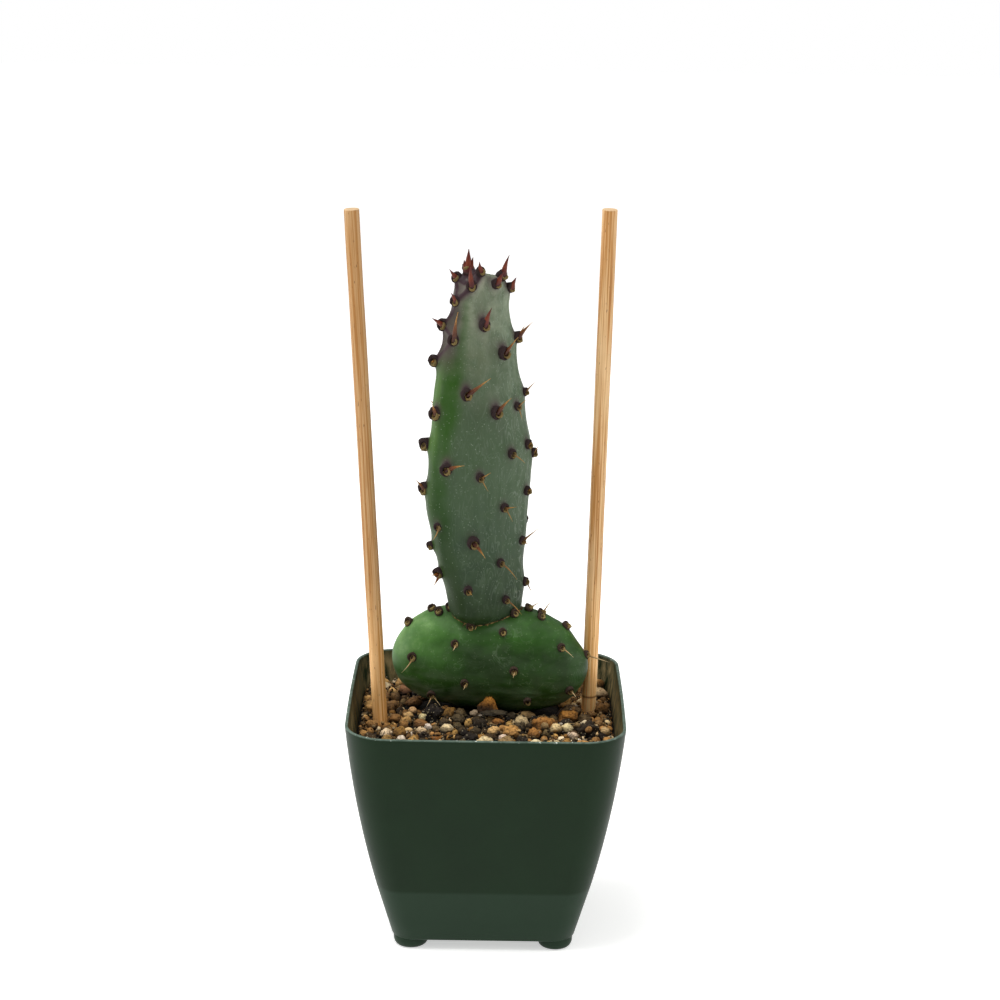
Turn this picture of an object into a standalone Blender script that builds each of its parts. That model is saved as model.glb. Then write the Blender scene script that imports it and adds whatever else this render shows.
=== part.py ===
"""A potted prickly pear: two pads with their areoles and spines, gritty soil, a nursery pot and two stakes.

Metres, +Z up, the front towards -Y. The origin is the middle of the pot's footprint, level with its feet.
"""

import bisect
import math
import random

import bmesh
import bpy
from mathutils import Matrix, Vector

# Clearance kept between pieces that touch
GAP = 0.0003

# Pot: square, with rounded corners, thin moulded walls and a round foot under each corner
POT_RIM_WIDTH = 0.0960
POT_BAND_WIDTH = 0.0741
POT_BASE_WIDTH = 0.0642
POT_HEIGHT = 0.0848
POT_BAND_HEIGHT = 0.0220
POT_FLOOR_HEIGHT = 0.0037
POT_WALL = 0.0011
POT_SIDE_BOW = 0.0012
POT_RIM_BULGE = 0.0006
POT_BULGE_POWER = 8
POT_RIM_CORNER = 0.0143
POT_BASE_CORNER = 0.0080
POT_FLOOR_ROUNDING = 0.0008
CORNER_STEPS = 6
SIDE_STEPS = 2
WALL_STEPS = 5
FOOT_PLACE = 0.0260
FOOT_RADIUS = 0.0062
FOOT_SEGMENTS = 14
# Its profile downwards, as (share of its radius, share of the floor's height)
FOOT_PROFILE = ((1.00, 0.60), (0.94, 0.30), (0.80, 0.08), (0.60, 0.00))
DRAIN_RADIUS = 0.0035
DRAIN_PLACE = 0.0150
DRAIN_SEGMENTS = 12

# Soil: a bed that fills the pot, heaped round the plant, with its stones standing out of it
SOIL_LEVEL = 0.0740
SOIL_MOUND = 0.0046
SOIL_RINGS = 4
SOIL_FLOOR_INSET = 0.0040
STONE_COUNT = 160
STONE_RADII = (0.0032, 0.0058)
STONE_VARIATION = 0.20
STONE_SQUASH = (0.75, 1.15)
STONE_SPACING = 0.70
STONE_RISE = (-0.35, -0.05)
STONE_UNDER_PAD = 0.0060
STONE_TRIES = 20000
SOIL_SEED = 11

# Lower pad: an oval lens set on edge and turned a little, with a stub below it in the soil
LOWER_CENTRE = Vector((0.0010, 0.0080, 0.0958))
LOWER_YAW = math.radians(-6.6)
LOWER_HALF_THICKNESS = 0.0140
LOWER_FULLNESS = 2.3
LOWER_SEGMENTS = (32, 16)
# Its outline seen from the front, as (across, up) from its centre, from the right tip upwards and round
LOWER_OUTLINE = (
    (0.0352, -0.0015),
    (0.0316, 0.0064),
    (0.0255, 0.0132),
    (0.0160, 0.0175),
    (0.0000, 0.0185),
    (-0.0160, 0.0180),
    (-0.0247, 0.0150),
    (-0.0312, 0.0090),
    (-0.0353, 0.0000),
    (-0.0332, -0.0086),
    (-0.0260, -0.0150),
    (-0.0140, -0.0180),
    (0.0020, -0.0190),
    (0.0190, -0.0186),
    (0.0285, -0.0143),
    (0.0340, -0.0070),
)
# The stub from its end in the soil upwards, as (height, half width)
STUB_PROFILE = ((0.0620, 0.0050), (0.0650, 0.0090), (0.0700, 0.0112), (0.0840, 0.0140))
STUB_FLATNESS = 0.55
STUB_SEGMENTS = 16

# Upper pad: a tall, flattened column, turned so that its left edge comes forward
UPPER_FOOT = Vector((0.0000, 0.0050, 0.1090))
UPPER_YAW = math.radians(30)
UPPER_FLATNESS = 0.64
UPPER_SQUARENESS = 2.6
UPPER_FOOT_ROUNDING = 0.0060
UPPER_TOP_ROUNDING = 0.0095
UPPER_SEGMENTS = (26, 30)
UPPER_RING_EVENNESS = 0.55
# Its sections, as (height above its foot, centre across, half width)
UPPER_SECTIONS = (
    (0.0000, -0.0004, 0.0125),
    (0.0130, -0.0012, 0.0144),
    (0.0260, -0.0030, 0.0165),
    (0.0420, -0.0039, 0.0182),
    (0.0610, -0.0036, 0.0188),
    (0.0740, -0.0041, 0.0174),
    (0.0870, -0.0046, 0.0159),
    (0.0990, -0.0044, 0.0136),
    (0.1080, -0.0042, 0.0115),
    (0.1160, -0.0040, 0.0100),
    (0.1278, -0.0031, 0.0087),
)

# Areoles: what each kind bears, as (button radius, spike radius, spike sides, reach out of the surface)
AREOLE_KINDS = {
    "leaf": (0.0015, 0.0013, 4, 0.0020),
    "stout": (0.0016, 0.0009, 3, 0.0038),
    "fine": (0.0012, 0.0005, 3, 0.0034),
}
BUTTON_SIDES = 6
BUTTON_HEIGHT = 0.0009
BUTTON_ROOT = 0.0014
BUTTON_TAPER = (1.15, 0.85)
SPIKE_TIP = 0.12
TUBERCLE_SPREAD = 0.0042
TUBERCLE_HEIGHTS = ((0.070, 0.0003), (0.120, 0.0004), (0.180, 0.0008), (0.210, 0.0014), (0.240, 0.0016))
# Those that face the front, as (across, up, kind, tips): across and up from the upper pad's foot or the
# lower pad's centre, seen from the front, and each tip as (across, up) from its areole
UPPER_AREOLES = (
    (-0.0120, 0.1235, "leaf", ((-0.0027, 0.0034),)),
    (-0.0077, 0.1265, "leaf", ((0.0002, 0.0065), (-0.0010, 0.0045))),
    (-0.0040, 0.1260, "leaf", ((-0.0006, 0.0040),)),
    (-0.0068, 0.1220, "leaf", ((-0.0003, 0.0080),)),
    (0.0010, 0.1225, "leaf", ((0.0022, 0.0045),)),
    (0.0027, 0.1245, "leaf", ((0.0022, 0.0076),)),
    (0.0060, 0.1205, "leaf", ((0.0015, 0.0025),)),
    (-0.0114, 0.1170, "leaf", ((-0.0016, 0.0034),)),
    (-0.0170, 0.1080, "leaf", ((-0.0040, 0.0027),)),
    (-0.0027, 0.1090, "leaf", ((0.0023, 0.0067),)),
    (-0.0121, 0.1040, "stout", ((0.0013, 0.0106),)),
    (0.0092, 0.1030, "stout", ((0.0054, 0.0064), (0.0027, 0.0053))),
    (0.0041, 0.0990, "stout", ((0.0045, 0.0065),)),
    (-0.0190, 0.0955, "stout", ((-0.0014, 0.0004),)),
    (-0.0081, 0.0860, "stout", ((0.0080, 0.0068),)),
    (0.0128, 0.0840, "fine", ((0.0038, 0.0045),)),
    (0.0090, 0.0800, "fine", ((0.0032, 0.0036), (0.0016, -0.0039))),
    (0.0020, 0.0790, "stout", ((0.0049, 0.0062),)),
    (-0.0188, 0.0785, "stout", ((-0.0012, 0.0043),)),
    (-0.0225, 0.0660, "stout", ()),
    (0.0129, 0.0660, "fine", ((0.0014, 0.0015), (0.0011, -0.0016))),
    (0.0157, 0.0620, "fine", ((0.0020, 0.0033),)),
    (0.0075, 0.0640, "fine", ((0.0045, -0.0024),)),
    (-0.0144, 0.0600, "stout", ((0.0061, 0.0026),)),
    (-0.0032, 0.0570, "fine", ((0.0036, 0.0029), (0.0028, -0.0040))),
    (-0.0229, 0.0505, "stout", ((-0.0033, 0.0042),)),
    (0.0129, 0.0495, "fine", ((0.0018, 0.0015),)),
    (0.0052, 0.0450, "fine", ((0.0042, 0.0014), (0.0029, -0.0040))),
    (-0.0170, 0.0390, "fine", ((-0.0020, -0.0042),)),
    (0.0115, 0.0315, "fine", ((0.0062, 0.0058), (0.0027, -0.0009))),
    (-0.0053, 0.0335, "stout", ((0.0042, -0.0042),)),
    (-0.0205, 0.0300, "fine", ()),
    (0.0042, 0.0250, "fine", ((0.0057, -0.0050),)),
    (-0.0167, 0.0205, "stout", ((-0.0029, 0.0000), (-0.0022, -0.0041))),
    (0.0132, 0.0155, "fine", ((0.0027, -0.0041),)),
    (-0.0068, 0.0160, "fine", ((0.0014, -0.0006),)),
    (0.0062, 0.0110, "fine", ((0.0056, -0.0045),)),
)
LOWER_AREOLES = (
    (-0.0222, 0.0167, "fine", ()),
    (-0.0298, 0.0117, "fine", ()),
    (-0.0181, 0.0167, "fine", ()),
    (-0.0141, 0.0182, "fine", ()),
    (0.0046, 0.0127, "fine", ()),
    (-0.0121, 0.0082, "fine", ((-0.0008, -0.0014),)),
    (-0.0271, 0.0017, "fine", ((-0.0039, -0.0048),)),
    (0.0140, 0.0182, "fine", ((0.0038, 0.0027),)),
    (0.0190, 0.0167, "fine", ((0.0036, 0.0057),)),
    (0.0179, 0.0162, "fine", ()),
    (0.0271, 0.0122, "fine", ((0.0030, 0.0006),)),
    (0.0250, 0.0072, "fine", ((0.0043, -0.0024),)),
    (0.0349, 0.0022, "fine", ((0.0082, -0.0019),)),
    (0.0086, -0.0003, "fine", ((-0.0003, -0.0013),)),
    (-0.0086, -0.0058, "fine", ((-0.0005, -0.0012),)),
    (-0.0203, -0.0118, "fine", ()),
    (0.0136, -0.0120, "fine", ()),
    (0.0282, -0.0085, "fine", ((0.0025, -0.0018),)),
)
# Those round the back follow a diagonal lattice, wherever none is near
BACK_SPACING = 0.0118
BACK_CLEAR = 0.0090
BACK_JITTER = 0.0010
BACK_FACING = 0.35
BACK_SEED = 5
LOWER_LATTICE = 48
LOWER_BARE = 0.0090
JUNCTION_BARE = 0.0022
SPIKE_LEAN = 0.0030
SPIKE_RISE = (0.0010, 0.0050)
LEAF_HEIGHT = 0.2160
STOUT_HEIGHT = 0.1610

# Stakes: plain round sticks, each placed by where it leaves the soil and the middle of its top
STAKE_RADIUS = 0.0027
STAKE_LENGTH = 0.2140
STAKE_SIDES = 20
STAKES = {
    "stake_left": (Vector((-0.0376, -0.0030, 0.0755)), Vector((-0.0476, -0.0030, 0.2575))),
    "stake_right": (Vector((0.0368, 0.0115, 0.0750)), Vector((0.0399, 0.0100, 0.2566))),
}

# Plain colours as (red, green, blue) with a roughness
LOOKS = {
    "dark green plastic": ((0.022, 0.040, 0.026), 0.35),
    "mature pad skin": ((0.085, 0.200, 0.060), 0.45),
    "bloomed pad skin": ((0.110, 0.170, 0.110), 0.50),
    "bamboo": ((0.620, 0.370, 0.150), 0.55),
    "gritty soil": ((0.130, 0.090, 0.055), 0.90),
}

# Steps for finding a pad's surface from in front, and its slope
SEARCH_START = -0.0200
SEARCH_STEP = 0.0005
SEARCH_STEPS = 100
SLOPE_STEP = 0.0002

SHARP_ANGLE = 35
UP = Vector((0, 0, 1))


def smooth_value(knots, at):
    """The value at a place on the smooth curve through (place, value) knots."""

    def slope(i):
        before = knots[max(i - 1, 0)]
        after = knots[min(i + 1, len(knots) - 1)]
        return (after[1] - before[1]) / (after[0] - before[0])

    i = bisect.bisect_right([place for place, _ in knots], at) - 1
    i = min(max(i, 0), len(knots) - 2)
    (start, a), (end, b) = knots[i], knots[i + 1]
    span = end - start
    t = min(max((at - start) / span, 0), 1)
    bend = slope(i) * (t**3 - 2 * t**2 + t) + slope(i + 1) * (t**3 - t**2)
    return a + (b - a) * t * t * (3 - 2 * t) + span * bend


def signed_power(value, power):
    return math.copysign(abs(value) ** power, value)


# Scene, materials and objects


def clear_scene():
    for obj in list(bpy.data.objects):
        bpy.data.objects.remove(obj, do_unlink=True)
    for collection in list(bpy.data.collections):
        bpy.data.collections.remove(collection)


def new_collection(name):
    collection = bpy.data.collections.new(name)
    bpy.context.scene.collection.children.link(collection)
    return collection


def plain_material(name):
    colour, roughness = LOOKS[name]
    material = bpy.data.materials.new(name)
    material.use_nodes = True
    shader = material.node_tree.nodes["Principled BSDF"]
    shader.inputs["Base Color"].default_value = (*colour, 1)
    shader.inputs["Roughness"].default_value = roughness
    shader.inputs["Metallic"].default_value = 0
    return material


def add_object(name, mesh, collection, material=None):
    """A new object from a bmesh, which is freed."""
    bmesh.ops.recalc_face_normals(mesh, faces=mesh.faces)
    data = bpy.data.meshes.new(name)
    mesh.to_mesh(data)
    mesh.free()
    obj = bpy.data.objects.new(name, data)
    collection.objects.link(obj)
    if material:
        data.materials.append(material)
    return obj


def hide_cutter(obj):
    obj.hide_render = True
    obj.display_type = "WIRE"


def fuse(obj, collection):
    """Joins every object of a collection to this one for good, and removes them."""
    union = obj.modifiers.new("Fused repeats", "BOOLEAN")
    union.operation = "UNION"
    union.operand_type = "COLLECTION"
    union.collection = collection
    union.solver = "EXACT"
    graph = bpy.context.evaluated_depsgraph_get()
    fused = bpy.data.meshes.new_from_object(obj.evaluated_get(graph))
    obj.modifiers.clear()
    obj.data = fused
    for used in list(collection.objects):
        bpy.data.objects.remove(used, do_unlink=True)
    bpy.data.collections.remove(collection)


def cut(obj, cutter):
    difference = obj.modifiers.new("Room for " + cutter.name, "BOOLEAN")
    difference.operation = "DIFFERENCE"
    difference.object = cutter
    difference.solver = "EXACT"


def shade(obj):
    obj.data.shade_smooth()
    obj.data.set_sharp_from_angle(angle=math.radians(SHARP_ANGLE))


def ring_loft(rings, closed=True):
    """A skin through rings with equally many points, capped at the first and, if closed, the last."""
    mesh = bmesh.new()
    bmesh.ops.create_circle(mesh, cap_ends=True, segments=len(rings[0]), radius=1)
    place = mesh.verts.layers.int.new("place")
    for i, vert in enumerate(mesh.verts):
        vert[place] = i
        vert.co = rings[0][i]
    edges = list(mesh.edges)
    for ring in rings[1:]:
        made = bmesh.ops.extrude_edge_only(mesh, edges=edges)["geom"]
        new = {item for item in made if isinstance(item, bmesh.types.BMVert)}
        edges = [item for item in made if isinstance(item, bmesh.types.BMEdge)]
        edges = [edge for edge in edges if new.issuperset(edge.verts)]
        for vert in new:
            vert.co = ring[vert[place]]
    if closed:
        bmesh.ops.contextual_create(mesh, geom=edges)
    return mesh


# Pot


def pot_half(height):
    """Half the pot's outer width at a height: straight up the low band, then bowed out to the rim."""
    if height < POT_BAND_HEIGHT:
        part = (height - POT_FLOOR_HEIGHT) / (POT_BAND_HEIGHT - POT_FLOOR_HEIGHT)
        return (POT_BASE_WIDTH + (POT_BAND_WIDTH - POT_BASE_WIDTH) * part) / 2
    part = (height - POT_BAND_HEIGHT) / (POT_HEIGHT - POT_BAND_HEIGHT)
    bow = POT_SIDE_BOW * 4 * part * (1 - part)
    return (POT_BAND_WIDTH + (POT_RIM_WIDTH - POT_BAND_WIDTH) * part) / 2 + bow


def pot_corner(height):
    part = (height - POT_FLOOR_HEIGHT) / (POT_HEIGHT - POT_FLOOR_HEIGHT)
    return POT_BASE_CORNER + (POT_RIM_CORNER - POT_BASE_CORNER) * part


def pot_outline(height, inset=0.0):
    """A rounded square whose sides bulge a little towards the rim, at a height, moved in by inset."""
    bulge = POT_RIM_BULGE * (height / POT_HEIGHT) ** 2
    half = pot_half(height) - inset
    corner = max(pot_corner(height) - inset, 0.001)
    flat = half - corner
    points = []
    for quarter in range(4):
        turned = Matrix.Rotation(math.radians(90 * quarter), 2)
        for step in range(CORNER_STEPS + 1):
            angle = math.radians(90 * step / CORNER_STEPS)
            rounded = Vector((flat + corner * math.cos(angle), flat + corner * math.sin(angle)))
            points.append(turned @ rounded)
        for step in range(1, SIDE_STEPS):
            points.append(turned @ Vector((flat - 2 * flat * step / SIDE_STEPS, half)))
    bulged = []
    for x, y in points:
        out_x = bulge * abs(x / half) ** POT_BULGE_POWER * (1 - (y / half) ** 2)
        out_y = bulge * abs(y / half) ** POT_BULGE_POWER * (1 - (x / half) ** 2)
        bulged.append(Vector((x + math.copysign(out_x, x), y + math.copysign(out_y, y), height)))
    return bulged


def circle(centre, radius, height, segments):
    """Points round a circle at a height."""
    middle = Vector((*centre, height))
    turns = [math.tau * i / segments for i in range(segments)]
    return [middle + radius * Vector((math.cos(turn), math.sin(turn), 0)) for turn in turns]


def make_foot(centre, collection):
    """A low round lobe, flat where it stands."""
    rings = [circle(centre, FOOT_RADIUS, POT_FLOOR_HEIGHT + 0.6 * POT_WALL, FOOT_SEGMENTS)]
    for wide, high in FOOT_PROFILE:
        rings.append(circle(centre, wide * FOOT_RADIUS, high * POT_FLOOR_HEIGHT, FOOT_SEGMENTS))
    add_object("foot", ring_loft(rings), collection)


def make_pot(collection, cutters, material):
    rounding = POT_FLOOR_ROUNDING
    rings = [
        pot_outline(POT_FLOOR_HEIGHT, rounding),
        pot_outline(POT_FLOOR_HEIGHT + 0.3 * rounding, 0.3 * rounding),
        pot_outline(POT_FLOOR_HEIGHT + rounding),
        pot_outline(POT_BAND_HEIGHT),
    ]
    for step in range(1, WALL_STEPS + 1):
        rings.append(pot_outline(POT_BAND_HEIGHT + (POT_HEIGHT - POT_BAND_HEIGHT) * step / WALL_STEPS))
    pot = add_object("pot", ring_loft(rings, closed=False), collection, material)
    walls = pot.modifiers.new("Moulded wall", "SOLIDIFY")
    walls.thickness = POT_WALL
    walls.offset = -1
    walls.use_even_offset = True
    feet = new_collection("feet")
    for x in (-FOOT_PLACE, FOOT_PLACE):
        for y in (-FOOT_PLACE, FOOT_PLACE):
            make_foot((x, y), feet)
    fuse(pot, feet)
    drains = bmesh.new()
    for x, y in ((0, 0), (1, 0), (0, 1), (-1, 0), (0, -1)):
        place = Matrix.Translation((x * DRAIN_PLACE, y * DRAIN_PLACE, POT_FLOOR_HEIGHT))
        bmesh.ops.create_cone(
            drains,
            cap_ends=True,
            segments=DRAIN_SEGMENTS,
            radius1=DRAIN_RADIUS,
            radius2=DRAIN_RADIUS,
            depth=6 * POT_WALL,
            matrix=place,
        )
    cutter = add_object("drain holes", drains, cutters)
    hide_cutter(cutter)
    cut(pot, cutter)
    shade(pot)


# Pad surfaces


def closed_knots(outline):
    """(angle, radius) knots of a closed outline, repeated past both ends of the turn."""
    knots = sorted((math.atan2(up, across) % math.tau, math.hypot(across, up)) for across, up in outline)
    before = [(angle - math.tau, radius) for angle, radius in knots[-2:]]
    after = [(angle + math.tau, radius) for angle, radius in knots[:2]]
    return before + knots + after


LOWER_KNOTS = closed_knots(LOWER_OUTLINE)


def lower_level(point):
    """Below 0 inside the lower pad, 0 on its surface."""
    local = Matrix.Rotation(-LOWER_YAW, 3, "Z") @ (point - LOWER_CENTRE)
    radius = smooth_value(LOWER_KNOTS, math.atan2(local.z, local.x) % math.tau)
    across = math.hypot(local.x, local.z) / radius
    return across**LOWER_FULLNESS + abs(local.y / LOWER_HALF_THICKNESS) ** LOWER_FULLNESS - 1


def lower_point(unit):
    """The lower pad's surface for a point of the unit sphere."""
    turn = math.atan2(unit.z, unit.x) % math.tau
    radius = smooth_value(LOWER_KNOTS, turn) * signed_power(math.hypot(unit.x, unit.z), 2 / LOWER_FULLNESS)
    depth = LOWER_HALF_THICKNESS * signed_power(unit.y, 2 / LOWER_FULLNESS)
    local = Vector((radius * math.cos(turn), depth, radius * math.sin(turn)))
    return LOWER_CENTRE + Matrix.Rotation(LOWER_YAW, 3, "Z") @ local


def upper_section(up):
    """(centre across, half width, half thickness) of the upper pad at a height above its foot."""
    tip = UPPER_SECTIONS[-1][0]
    centre = smooth_value([(height, across) for height, across, _ in UPPER_SECTIONS], up)
    width = smooth_value([(height, half) for height, _, half in UPPER_SECTIONS], up)
    for along, rounding in ((up, UPPER_FOOT_ROUNDING), (tip - up, UPPER_TOP_ROUNDING)):
        width *= math.sqrt(max(1 - (1 - min(max(along / rounding, 0), 1)) ** 2, 0))
    return centre, width, width * UPPER_FLATNESS


def upper_level(point):
    """Below 0 inside the upper pad, 0 on its surface."""
    up = point.z - UPPER_FOOT.z
    centre, width, thickness = upper_section(up)
    if thickness < 1e-5:
        return 9.0
    local = Matrix.Rotation(-UPPER_YAW, 3, "Z") @ (point - UPPER_FOOT - Vector((centre, 0, up)))
    return abs(local.x / width) ** UPPER_SQUARENESS + abs(local.y / thickness) ** UPPER_SQUARENESS - 1


def upper_place(up, turn):
    """The upper pad's surface at a height above its foot and an angle round it, from its right edge."""
    centre, width, thickness = upper_section(up)
    across = width * signed_power(math.cos(turn), 2 / UPPER_SQUARENESS)
    deep = thickness * signed_power(math.sin(turn), 2 / UPPER_SQUARENESS)
    turned = Matrix.Rotation(UPPER_YAW, 3, "Z") @ Vector((across, deep, 0))
    return UPPER_FOOT + Vector((centre, 0, up)) + turned


def upper_point(unit):
    """The upper pad's surface for a point of the unit sphere, with its rings closer at both ends."""
    even = 1 - math.acos(min(max(unit.z, -1), 1)) / math.pi
    share = (1 - UPPER_RING_EVENNESS) * (1 + unit.z) / 2 + UPPER_RING_EVENNESS * even
    return upper_place(UPPER_SECTIONS[-1][0] * share, math.atan2(unit.y, unit.x))


def slope_of(level, point):
    """The gradient of a level function."""
    axes = (Vector((SLOPE_STEP, 0, 0)), Vector((0, SLOPE_STEP, 0)), Vector((0, 0, SLOPE_STEP)))
    return Vector([(level(point + axis) - level(point - axis)) / (2 * SLOPE_STEP) for axis in axes])


def clearance(level, point):
    """About how far a point is outside a surface, or a long way where the surface is out of reach."""
    return level(point) / max(slope_of(level, point).length, 1.0)


def front_point(level, across, up, middle):
    """Where a pad's front is met at a place in the front view, or the nearest place on its edge."""
    for shrink in range(60):
        x = middle + (across - middle) * (1 - shrink / 100)
        for step in range(SEARCH_STEPS):
            inner = Vector((x, SEARCH_START + step * SEARCH_STEP, up))
            if level(inner) <= 0:
                return nearer_surface(level, inner - Vector((0, SEARCH_STEP, 0)), inner)
    raise ValueError(f"no surface near {across}, {up}")


def nearer_surface(level, outer, inner):
    """The surface's place between a point outside it and one inside, found by halving."""
    for _ in range(12):
        halfway = (inner + outer) / 2
        if level(halfway) <= 0:
            inner = halfway
        else:
            outer = halfway
    return inner


# Areoles


def tubercle_height(up):
    return smooth_value(TUBERCLE_HEIGHTS, up)


def seen_areoles(rows, level, start, middle):
    """The areoles of the front as (point, normal, kind, tips), their rows measured from start."""
    found = []
    for across, up, kind, tips in rows:
        point = front_point(level, start.x + across, start.z + up, middle)
        normal = slope_of(level, point).normalized()
        reach = AREOLE_KINDS[kind][3] * normal.y
        found.append((point, normal, kind, [Vector((x, reach, z)) for x, z in tips]))
    return found


def kind_at(height):
    if height > LEAF_HEIGHT:
        return "leaf"
    return "stout" if height > STOUT_HEIGHT else "fine"


def add_by_rule(found, candidates, level, draw):
    """Adds the lattice's points that no areole is near, with a spike that leans up and to one side."""
    for point in candidates:
        if min((point - other[0]).length for other in found) < BACK_CLEAR:
            continue
        normal = slope_of(level, point).normalized()
        if normal.y < BACK_FACING:
            continue
        kind = kind_at(point.z)
        side = normal.cross(UP).normalized()
        lean = draw.uniform(-SPIKE_LEAN, SPIKE_LEAN)
        rise = draw.uniform(*SPIKE_RISE) if kind != "fine" else draw.uniform(-SPIKE_LEAN, SPIKE_LEAN)
        tip = normal * AREOLE_KINDS[kind][3] + side * lean + UP * rise
        found.append((point, normal, kind, [tip]))


def upper_areoles():
    found = seen_areoles(UPPER_AREOLES, upper_level, UPPER_FOOT, UPPER_SECTIONS[4][1])
    draw = random.Random(BACK_SEED)
    rows = int(UPPER_SECTIONS[-1][0] / BACK_SPACING)
    candidates = []
    for row in range(rows):
        height = (row + 0.85) * UPPER_SECTIONS[-1][0] / rows
        _, width, thickness = upper_section(height)
        around = max(4, round(math.pi * (width + thickness) / BACK_SPACING))
        for i in range(around):
            turn = math.tau * (i + 0.5 * (row % 2)) / around
            candidates.append(upper_place(height + draw.uniform(-BACK_JITTER, BACK_JITTER), turn))
    add_by_rule(found, candidates, upper_level, draw)
    return found


def lower_areoles():
    found = seen_areoles(LOWER_AREOLES, lower_level, LOWER_CENTRE, LOWER_CENTRE.x)
    draw = random.Random(BACK_SEED)
    candidates = []
    for i in range(LOWER_LATTICE):
        height = 1 - 2 * (i + 0.5) / LOWER_LATTICE
        turn = i * math.pi * (3 - math.sqrt(5))
        ring = math.sqrt(1 - height * height)
        unit = Vector((ring * math.cos(turn), ring * math.sin(turn), height))
        point = lower_point(unit)
        if point.z > SOIL_LEVEL + LOWER_BARE:
            candidates.append(point)
    add_by_rule(found, candidates, lower_level, draw)
    return [areole for areole in found if clearance(upper_level, areole[0]) > JUNCTION_BARE]


def spike_mesh(root, tip, radius, sides):
    """A slim cone from root to tip."""
    mesh = bmesh.new()
    along = tip - root
    turned = along.to_track_quat("Z", "Y").to_matrix().to_4x4()
    bmesh.ops.create_cone(
        mesh,
        cap_ends=True,
        segments=sides,
        radius1=radius,
        radius2=radius * SPIKE_TIP,
        depth=along.length,
        matrix=Matrix.Translation((root + tip) / 2) @ turned,
    )
    return mesh


def add_areoles(pad, areoles):
    """Fuses a six-sided felt button and its spikes into the pad at each areole."""
    repeats = new_collection(pad.name + " repeats")
    for point, normal, kind, tips in areoles:
        button_radius, spike_radius, sides, _ = AREOLE_KINDS[kind]
        seat = point + normal * tubercle_height(point.z)
        mesh = bmesh.new()
        turned = normal.to_track_quat("Z", "Y").to_matrix().to_4x4()
        middle = seat + normal * (BUTTON_HEIGHT - BUTTON_ROOT) / 2
        bmesh.ops.create_cone(
            mesh,
            cap_ends=True,
            segments=BUTTON_SIDES,
            radius1=button_radius * BUTTON_TAPER[0],
            radius2=button_radius * BUTTON_TAPER[1],
            depth=BUTTON_HEIGHT + BUTTON_ROOT,
            matrix=Matrix.Translation(middle) @ turned,
        )
        add_object("button", mesh, repeats)
        for tip in tips:
            root = seat - tip.normalized() * BUTTON_ROOT * 0.5
            add_object("spike", spike_mesh(root, seat + tip, spike_radius, sides), repeats)
    fuse(pad, repeats)


def pad_body(segments, surface, poles, areoles, grow):
    """A sphere drawn out to the pad's surface, raised under each areole, then grown along its normals."""
    mesh = bmesh.new()
    bmesh.ops.create_uvsphere(mesh, u_segments=segments[0], v_segments=segments[1], radius=1, matrix=poles)
    for vert in mesh.verts:
        place = surface(vert.co)
        swells = [(0.0, UP)]
        for point, normal, _, _ in areoles:
            distance = (place - point).length / TUBERCLE_SPREAD
            swells.append((tubercle_height(point.z) * math.exp(-(distance**2)), normal))
        height, normal = max(swells, key=lambda swell: swell[0])
        vert.co = place + normal * height
    bmesh.ops.recalc_face_normals(mesh, faces=mesh.faces)
    mesh.normal_update()
    grown = [vert.co + vert.normal * grow for vert in mesh.verts]
    for vert, place in zip(mesh.verts, grown):
        vert.co = place
    return mesh


def make_lower_body(name, collection, areoles, material=None, grow=0.0):
    """The lower pad with its buried stub, and no areoles."""
    poles = Matrix.Rotation(math.radians(90), 4, "X")
    mesh = pad_body(LOWER_SEGMENTS, lower_point, poles, areoles, grow)
    body = add_object(name, mesh, collection, material)
    stubs = new_collection(name + " stub")
    rings = []
    for height, half in STUB_PROFILE:
        stretch = Matrix.Diagonal((half + grow, half * STUB_FLATNESS + grow, 1))
        foot = Vector((LOWER_CENTRE.x, LOWER_CENTRE.y, 0))
        rings.append([foot + stretch @ point for point in circle((0, 0), 1, height - grow, STUB_SEGMENTS)])
    add_object("stub", ring_loft(rings), stubs)
    fuse(body, stubs)
    return body


def make_pads(collection, cutters, lower_material, upper_material):
    """Both pads, and a cutter a little larger than the lower one."""
    on_lower, on_upper = lower_areoles(), upper_areoles()
    lower = make_lower_body("lower_pad", collection, on_lower, lower_material)
    add_areoles(lower, on_lower)
    shade(lower)
    room = make_lower_body("room for the lower pad", cutters, on_lower, grow=GAP)
    hide_cutter(room)
    upper_mesh = pad_body(UPPER_SEGMENTS, upper_point, Matrix.Identity(4), on_upper, 0.0)
    upper = add_object("upper_pad", upper_mesh, collection, upper_material)
    add_areoles(upper, on_upper)
    cut(upper, room)
    shade(upper)
    return room


# Stakes


def stake_matrix(surface, top, length):
    """The place of a cylinder of this length that ends at the stake's top."""
    along = (top - surface).normalized()
    turned = along.to_track_quat("Z", "Y").to_matrix().to_4x4()
    return Matrix.Translation(top - along * length / 2) @ turned


def make_stake(name, surface, top, collection, cutters, material):
    """A round stick, and the cutter for its hole in the soil."""
    stick = bmesh.new()
    bmesh.ops.create_cone(
        stick,
        cap_ends=True,
        segments=STAKE_SIDES,
        radius1=STAKE_RADIUS,
        radius2=STAKE_RADIUS,
        depth=STAKE_LENGTH,
        matrix=stake_matrix(surface, top, STAKE_LENGTH),
    )
    stake = add_object(name, stick, collection, material)
    shade(stake)
    hole = bmesh.new()
    length = STAKE_LENGTH + 2 * GAP
    bmesh.ops.create_cone(
        hole,
        cap_ends=True,
        segments=STAKE_SIDES,
        radius1=STAKE_RADIUS + GAP,
        radius2=STAKE_RADIUS + GAP,
        depth=length,
        matrix=stake_matrix(surface, top + (top - surface).normalized() * GAP, length),
    )
    cutter = add_object("hole for " + name, hole, cutters)
    hide_cutter(cutter)
    return cutter


# Soil


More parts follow.
